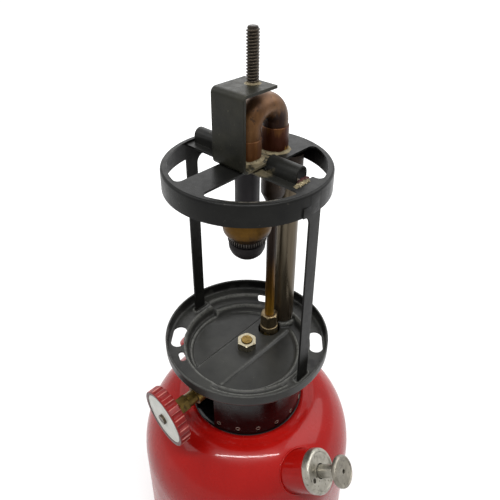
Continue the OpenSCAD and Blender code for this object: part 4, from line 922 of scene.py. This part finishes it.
DIAL_FOOT, DIAL_TOP = WHEEL_FACE - DIAL_RECESS + 0.02, WHEEL_FACE - 0.42
dial = ring_section(STEM_HOLE, DIAL_R, DIAL_FOOT, DIAL_TOP, edge=0.2)
piece("valve_dial_dressed", [lathe(dial, VALVE, 120)], "fuel_valve", dial_white, ["valve_dial"],
      sharp=50)

# %% [markdown]
# ## The return bend and its sleeves
# Fuel gas goes up one leg and down the other, and the bend lies over the hottest part of the frame. A circle
# carried along a path of two straight legs and a half round makes it. The brazed feet are small lumpy
# fillets, whose outer radius wanders with the angle.

# %% Return bend and sleeves
BEND_R, BEND_Z, BEND_FOOT, BEND_HALF, LEG_ROWS = 6.45, 285.1, 272.0, GENERATOR_Y / 2, 11
FLATTENED, FLAT_AT, UNEVEN, UNEVEN_WAVES, TURN_ROWS, BEND_COLUMNS = 0.02, (0.5, 0.16), 0.01, 9, 49, 64
leg = np.linspace(BEND_FOOT, BEND_Z, LEG_ROWS + 1)[:-1]
half_turn = np.linspace(math.pi, 0, TURN_ROWS)
ones = np.ones(LEG_ROWS)
path_y = np.concatenate([0 * ones, BEND_HALF + BEND_HALF * np.cos(half_turn), GENERATOR_Y * ones])
path_z = np.concatenate([leg, BEND_Z + BEND_HALF * np.sin(half_turn), leg[::-1]])
out_y = np.concatenate([-ones, np.cos(half_turn), ones])
out_z = np.concatenate([0 * ones, np.sin(half_turn), 0 * ones])
around = ring_angles(BEND_COLUMNS)
along = np.linspace(0, 1, len(path_y))[:, None]
flattened = FLATTENED * hump(along, *FLAT_AT) * np.cos(around) ** 2
swell = BEND_R * (1 + UNEVEN * np.sin(2 * around) * np.sin(UNEVEN_WAVES * along) - flattened)
bend = np.stack([swell * np.sin(around) + 0 * along, path_y[:, None] + swell * np.cos(around) * out_y[:, None],
                 path_z[:, None] + swell * np.cos(around) * out_z[:, None]], -1)
path = np.stack([0 * path_y, path_y, path_z], -1)[:, None] + 0 * bend
closed_bend = np.concatenate([path[:1], bend, path[-1:]])
piece("return_bend_dressed", [surface(closed_bend)], "lantern", pipe_copper, ["return_bend"],
      sharp=60)
SLEEVE_BORE = 6.2
FRONT_R, FRONT_FOOT, FRONT_TOP = 6.85, 270.9, 281.5
BACK_R, BACK_FOOT, BACK_TOP = 7.05, 269.3, 282.6
sleeves = {"front_sleeve": (stand(), FRONT_R, FRONT_FOOT, FRONT_TOP, 0.3),
           "back_sleeve": (GENERATOR, BACK_R, BACK_FOOT, BACK_TOP, 0.35)}
for node, (place, *sizes, edge) in sleeves.items():
    section = ring_section(SLEEVE_BORE, *sizes, edge=edge)
    piece(node + "_dressed", [lathe(section, place)], "lantern", sleeve_copper, [node])


# %% Brazed feet
def lumpy(depth, turns):
    """Radius that wanders with the angle by the sum of three waves, more the further it is from the pipe."""
    def wander(r, z, a):
        wave = waves(a, ((1, turns, 0.7), (0.6, turns + 4, 2.1), (0.4, 2 * turns + 5, 0)))
        return r + depth * (r - r.min()) / np.ptp(r) * wave
    return wander


BRAZE_ROWS, BRAZE_UNDER, BRAZE_SUNK = 9, 0.2, 0.05


def braze_ring(pipe_r, foot_z, reach, rise):
    """Closed ring with a hollow face, from the pipe's wall down to the plate."""
    t = np.linspace(0, math.pi / 2, BRAZE_ROWS)
    hollow = np.stack([pipe_r + reach * (1 - np.sin(t)), foot_z + rise * (1 - np.cos(t))], 1)
    return np.concatenate([hollow, [[pipe_r - BRAZE_UNDER, foot_z + rise], [pipe_r - BRAZE_UNDER, foot_z]]])


STUD = stand(0, 3.4)
BRACKET_TOP = 307.4
# Each foot has its place, its pipe's radius, the plate's height, its reach out and up, its columns and its waves.
feet = ((stand(), FRONT_R, FRONT_FOOT, 1.9, 1.5, 120, (0.35, 3)),
        (GENERATOR, BACK_R, BACK_FOOT, 1.9, 1.3, 120, (0.3, 4)),
        (STUD, 2.9, BRACKET_TOP, 1.5, 0.9, 96, (0.3, 3)))
piece("braze_feet", [lathe(braze_ring(pipe_r, plate_z - BRAZE_SUNK, out, up), place, count, radius=lumpy(*waved))
                     for place, pipe_r, plate_z, out, up, count, waved in feet], "lantern", braze)

# %% [markdown]
# ## The burner
# The burner bowl was spun from brass and ends in a slotted ring and a rounded lip for the mantle's string. These are
# turned profiles too, with the slots made by stepping the radius in and out as the angle goes round.

# %% Burner bowl, slotted ring and mantle collar
BOWL_FOOT, BOWL_TOP, RING_FOOT, LIP_BOTTOM = 226.9, 245.1, 224.1, 214.5
bowl_outer = rounded([[9.3, BOWL_FOOT], [10.6, BOWL_FOOT], [12.7, BOWL_FOOT + 3.2], [13.1, BOWL_FOOT + 6.4],
                      [12.5, BOWL_FOOT + 10], [9.6, BOWL_FOOT + 15.1], [6.6, BOWL_TOP], [6.3, BOWL_TOP]],
                     [0, 0.6, 4, 5, 6, 6, 0.8, 0], closed=False)
piece("burner_bowl_dressed", [lathe(bowl_outer, stand(), 120)], "lantern", burner_brass,
      ["burner_bowl"], sharp=60)
SLOTS, SLOT_DEPTH, RING_R, RING_IN, RING_COLUMNS = 48, 0.7, 10.3, 7.4, 432
SLOT_SIDE, LAND_SIDE, SLOT_FLOOR_R, SLOT_LOW, SLOT_HIGH = (0.18, 0.26), (0.1, 0.2), 9.0, 0.3, 2.5


def off_land(a):
    """How far an angle is from the middle of the land between two slots, as a share of one slot's step."""
    return np.abs((a * SLOTS / FULL_TURN) % 1 - 0.5)


def slotted(r, z, a):
    """Radius that steps in at each slot between the ring's two edges."""
    gap = smooth(off_land(a), *SLOT_SIDE)
    return r - SLOT_DEPTH * gap * (r > SLOT_FLOOR_R) * (z > RING_FOOT + SLOT_LOW) * (z < RING_FOOT + SLOT_HIGH)


edge_z = RING_FOOT + np.array([0.15, 0.35, 0.8, 2.0, 2.4, 2.6])
row_rub = np.array([0, 0, 0, 0, 0.25, 0.9, 1, 0.7, 0, 0])[:, None]
land = 1 - smooth(off_land(ring_angles(RING_COLUMNS)), *LAND_SIDE)
slot_rows = np.concatenate([[[RING_IN, RING_FOOT], [RING_R - 0.2, RING_FOOT]],
                            np.stack([np.full(6, RING_R), edge_z], 1),
                            [[RING_R - 0.2, BOWL_FOOT], [RING_IN, BOWL_FOOT]]])
piece("slotted_ring_dressed", [lathe(slot_rows, stand(), RING_COLUMNS, radius=slotted)], "lantern", soot_metal,
      ["slotted_ring"], sharp=40, wear_and_highlight=row_rub * land)
GAUZE_R = 6.0
lip = rounded([[GAUZE_R, LIP_BOTTOM], [6.6, LIP_BOTTOM], [8.4, LIP_BOTTOM + 1.8], [9.6, LIP_BOTTOM + 4.4],
               [9.9, LIP_BOTTOM + 6.6], [9.6, LIP_BOTTOM + 8.4], [8.6, LIP_BOTTOM + 8.8], [8.6, RING_FOOT],
               [GAUZE_R, RING_FOOT]],
              [0, 0.3, 3, 3, 2, 0.7, 0.1, 0, 0])
piece("mantle_collar_dressed", [lathe(lip, stand(), 96)], "lantern", soot_metal,
      ["mantle_collar"], sharp=50)

# %% [markdown]
# ## The stud
# The ventilator is held down by a nut on this stud. A thread is a height that climbs one pitch for each turn, so
# the radius depends on the height less the angle's share of the pitch. The ends of the thread run out gently.

# %% Stud
STUD_R, THREAD, PITCH, STUD_FOOT, STUD_TOP = 3.0, 0.62, 1.4, 304.4, 332.7
HEAD_R, FLANGE_UNDER, STUD_COLUMNS, STUD_ROWS = 4.6, 305.8, 48, 200
FLANK, RUN_IN, RUN_OUT = (0.14, 0.44), 1.4, (1.6, 0.5)
ROOT_R, TIP_START = STUD_R - THREAD, STUD_TOP - 0.35
stud_z = np.linspace(BRACKET_TOP, TIP_START, STUD_ROWS)[:, None]
stud_a = ring_angles(STUD_COLUMNS)
climb = ((stud_z - stud_a / FULL_TURN * PITCH) / PITCH) % 1
ridge = 1 - smooth(np.abs(climb - 0.5), *FLANK)
starts = smooth(stud_z, BRACKET_TOP, BRACKET_TOP + RUN_IN)
ends = 1 - smooth(stud_z, STUD_TOP - RUN_OUT[0], STUD_TOP - RUN_OUT[1])
crest = ridge * starts * ends
thread = placed(polar(ROOT_R + THREAD * crest, stud_a, stud_z), STUD)
stud_head = rounded([[0, STUD_FOOT], [HEAD_R, STUD_FOOT], [HEAD_R, FLANGE_UNDER], [ROOT_R, FLANGE_UNDER],
                     [ROOT_R, BRACKET_TOP]], [0, 0.5, 0, 0, 0], closed=False)
stud_tip = np.array([[ROOT_R, TIP_START], [ROOT_R - 0.3, STUD_TOP - 0.1], [ROOT_R - 0.6, STUD_TOP], [0.0, STUD_TOP]])
# The crests of the thread get a painted highlight, and the head and the tip do not.
stud_highlight = np.concatenate([np.zeros((len(stud_head), STUD_COLUMNS)), crest, np.zeros((len(stud_tip), STUD_COLUMNS))])
piece("ventilator_stud_dressed", [lathe(stud_head, STUD, STUD_COLUMNS, closed=False), surface(thread),
                                  lathe(stud_tip, STUD, STUD_COLUMNS, closed=False)],
      "lantern", dark_steel, ["ventilator_stud"], sharp=50, wear_and_highlight=stud_highlight)

# %% [markdown]
# ## Pressed sheet pieces
# The frame, the bail strap, the bracket and the collar already have their true outlines as solids. A copy of
# such a solid is merged and its edges are rounded with Bevel, as the press and the paint leave them.

# %% Softened copies of the sheet pieces
SOLID_MERGE, FLAT_ANGLE = 1e-5, 0.5


def softened(node, body, coat, width, segments=3, angle=38):
    """Copy of a solid with doubles merged, flat triangles joined and its edges rounded."""
    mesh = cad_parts[node].data.copy()
    mesh.name = node + "_dressed"
    work = bmesh.new()
    work.from_mesh(mesh)
    bmesh.ops.remove_doubles(work, verts=work.verts, dist=SOLID_MERGE)
    bmesh.ops.dissolve_limit(work, angle_limit=math.radians(FLAT_ANGLE), verts=work.verts, edges=work.edges)
    work.to_mesh(mesh)
    work.free()
    thing = dress(node + "_dressed", mesh, body, coat, [node], angle)
    bevel = thing.modifiers.new("edges", "BEVEL")
    bevel.width = width * MM
    bevel.segments = segments
    bevel.limit_method = "ANGLE"
    bevel.angle_limit = math.radians(angle)
    bevel.harden_normals = True


softened("frame_top", "lantern", satin_black, 0.45)
softened("bail_strap", "lantern", strap_black, 0.25)
softened("stud_bracket", "lantern", bracket_black, 0.45)
softened("collar", "lantern", gloss_black, 0.2, 2)
softened("mixing_chamber", "lantern", heat_brown, 0.4)
softened("wheel_screw", "fuel_valve", stained_steel, 0.15, 2)

# %% [markdown]
# ## Vent rims
# Each air hole along the collar's foot has a pale rim.
# A small turned ring set on the collar, with its axis pointing out, gives one.

# %% Vent rims
VENT_Z, VENT_R, COLLAR_R, RIM_WIDTH, RIM_STAND = 112.5, 0.8, 34.0, 0.65, 0.12
VENTS, VENT_STEP, FIRST_VENT, RIM_SUNK = 17, 20, -75.6, -0.3
VENT_ANGLES = np.arange(VENTS) * VENT_STEP + FIRST_VENT
vent_rim = ring_section(VENT_R, VENT_R + RIM_WIDTH, RIM_SUNK, RIM_STAND, edge=0.1, bore=0.1)
piece("vent_rims", [lathe(vent_rim, tilted(angle, 90, COLLAR_R, VENT_Z), 24) for angle in VENT_ANGLES], "lantern",
      shaded_zinc, sharp=60)

# %% [markdown]
# ## The bright edge of the ring
# Hands and globes have rubbed the ring's near inner edge, and a painted highlight lies along it. A thin pale wire
# laid inside the rounded edge shows only where it is thicker than the edge is round, so waves in its thickness
# leave pale patches.

# %% Rubbed edge and painted highlight
EDGE_R, EDGE_Z, EDGE_ROUND, EDGE_FROM, EDGE_TO, EDGE_ROWS = 39.6, 268.85, 0.45, -20, -68, 160
EDGE_STAND, EDGE_WAVE, EDGE_TAPER, EDGE_COLUMNS = 0.04, 0.03, 0.2, 16
edge_a = np.radians(np.linspace(EDGE_FROM, EDGE_TO, EDGE_ROWS))[:, None]
edge_u = ring_angles(EDGE_COLUMNS)
share = np.linspace(0, 1, EDGE_ROWS)[:, None]
patches = waves(share, ((0.5, 41, 0.5), (0.35, 97, 2), (0.25, 23, 0)))
edge_t = EDGE_ROUND + EDGE_STAND + EDGE_WAVE * patches - EDGE_TAPER * (2 * share - 1) ** 6
wire = polar(EDGE_R + edge_t * np.cos(edge_u), edge_a, EDGE_Z + edge_t * np.sin(edge_u))
core = polar(EDGE_R, edge_a, EDGE_Z + 0 * edge_u)
closed_wire = np.concatenate([core[:1], wire, core[-1:]])
piece("ring_edge_wear_and_highlight", [surface(closed_wire)], "lantern", shaded_zinc, sharp=60)

# %% [markdown]
# ## The weld
# The strap's end was welded to the ring by hand, and the weld shows as a rough ridge. A ridge is a half tube carried
# along a line, with its width and height roughened by crossing waves and let down to nothing at both ends.

# %% Weld ridge
WELD_ROWS, WELD_COLUMNS, WELD_SUNK = 60, 22, 0.15 * math.pi


def weld_ridge(start, stop, width, height, rough):
    """Half tube: across = width cos u, up = height sin u, both scaled by crossing sine waves along the line."""
    along = np.linspace(0, 1, WELD_ROWS)[:, None]
    u = np.linspace(math.pi + WELD_SUNK, -WELD_SUNK, WELD_COLUMNS)
    wave = waves(along, ((1, 31, 2 * u), (0.7, 53, -3 * u), (0.5, 83, 5 * u)))
    size = (1 + rough * wave) * np.sqrt(np.clip(1 - (2 * along - 1) ** 6, 0, 1))
    line = np.array(start) + along[..., None] * (np.array(stop) - np.array(start))
    offset = np.stack([size * width * np.cos(u), 0 * size * u, size * height * np.sin(u)], -1)
    return surface(line + offset)


# Each ridge has its finish, its two ends, its width, its height and its roughness.
ridges = {"strap_weld": (weld_bead, (33.9, -5.8, 269.1), (33.7, 5.4, 269.1), 1.4, 0.9, 0.16),
          "strap_end_rust": (rusty_edge, (31.8, -1.0, 268.2), (31.8, 7.4, 268.3), 1.5, 1.7, 0.12)}
for name, (coat, *row) in ridges.items():
    piece(name, [weld_ridge(*row)], "lantern", coat, sharp=60)

# %% [markdown]
# ## The other solids
# The tubes, stems and hidden works already have the right shape as solids. They keep it and take the finish
# that the real metal has.

# %% Finishes on the solids that stay
plain_finishes = {
    "fount_bottom": red_enamel, "filler_neck": red_enamel, "pump_barrel": olive_brass, "check_valve": yellow_brass,
    "check_ball": dark_steel, "valve_body": yellow_brass, "pickup_tube": yellow_brass, "packing_ring": graphite,
    "generator_tube": tube_brass, "gas_tip": yellow_brass, "air_tube": stained_steel, "burner_tube": burnt_black,
    "burner_screen": heat_brown, "valve_stem": yellow_brass, "cleaning_rod": dark_steel, "air_stem": dark_steel,
    "pump_rod": lit_zinc, "pump_cup": leather, "cup_retainer": lit_zinc, "filler_gasket": rubber,
}
for node, coat in plain_finishes.items():
    for material_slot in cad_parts[node].material_slots:
        material_slot.material = coat
print("solids finished:", len(plain_finishes))

# %% [markdown]
# ## Last step
# The view layer is brought up to date.

# %% Update the view layer
bpy.context.view_layer.update()
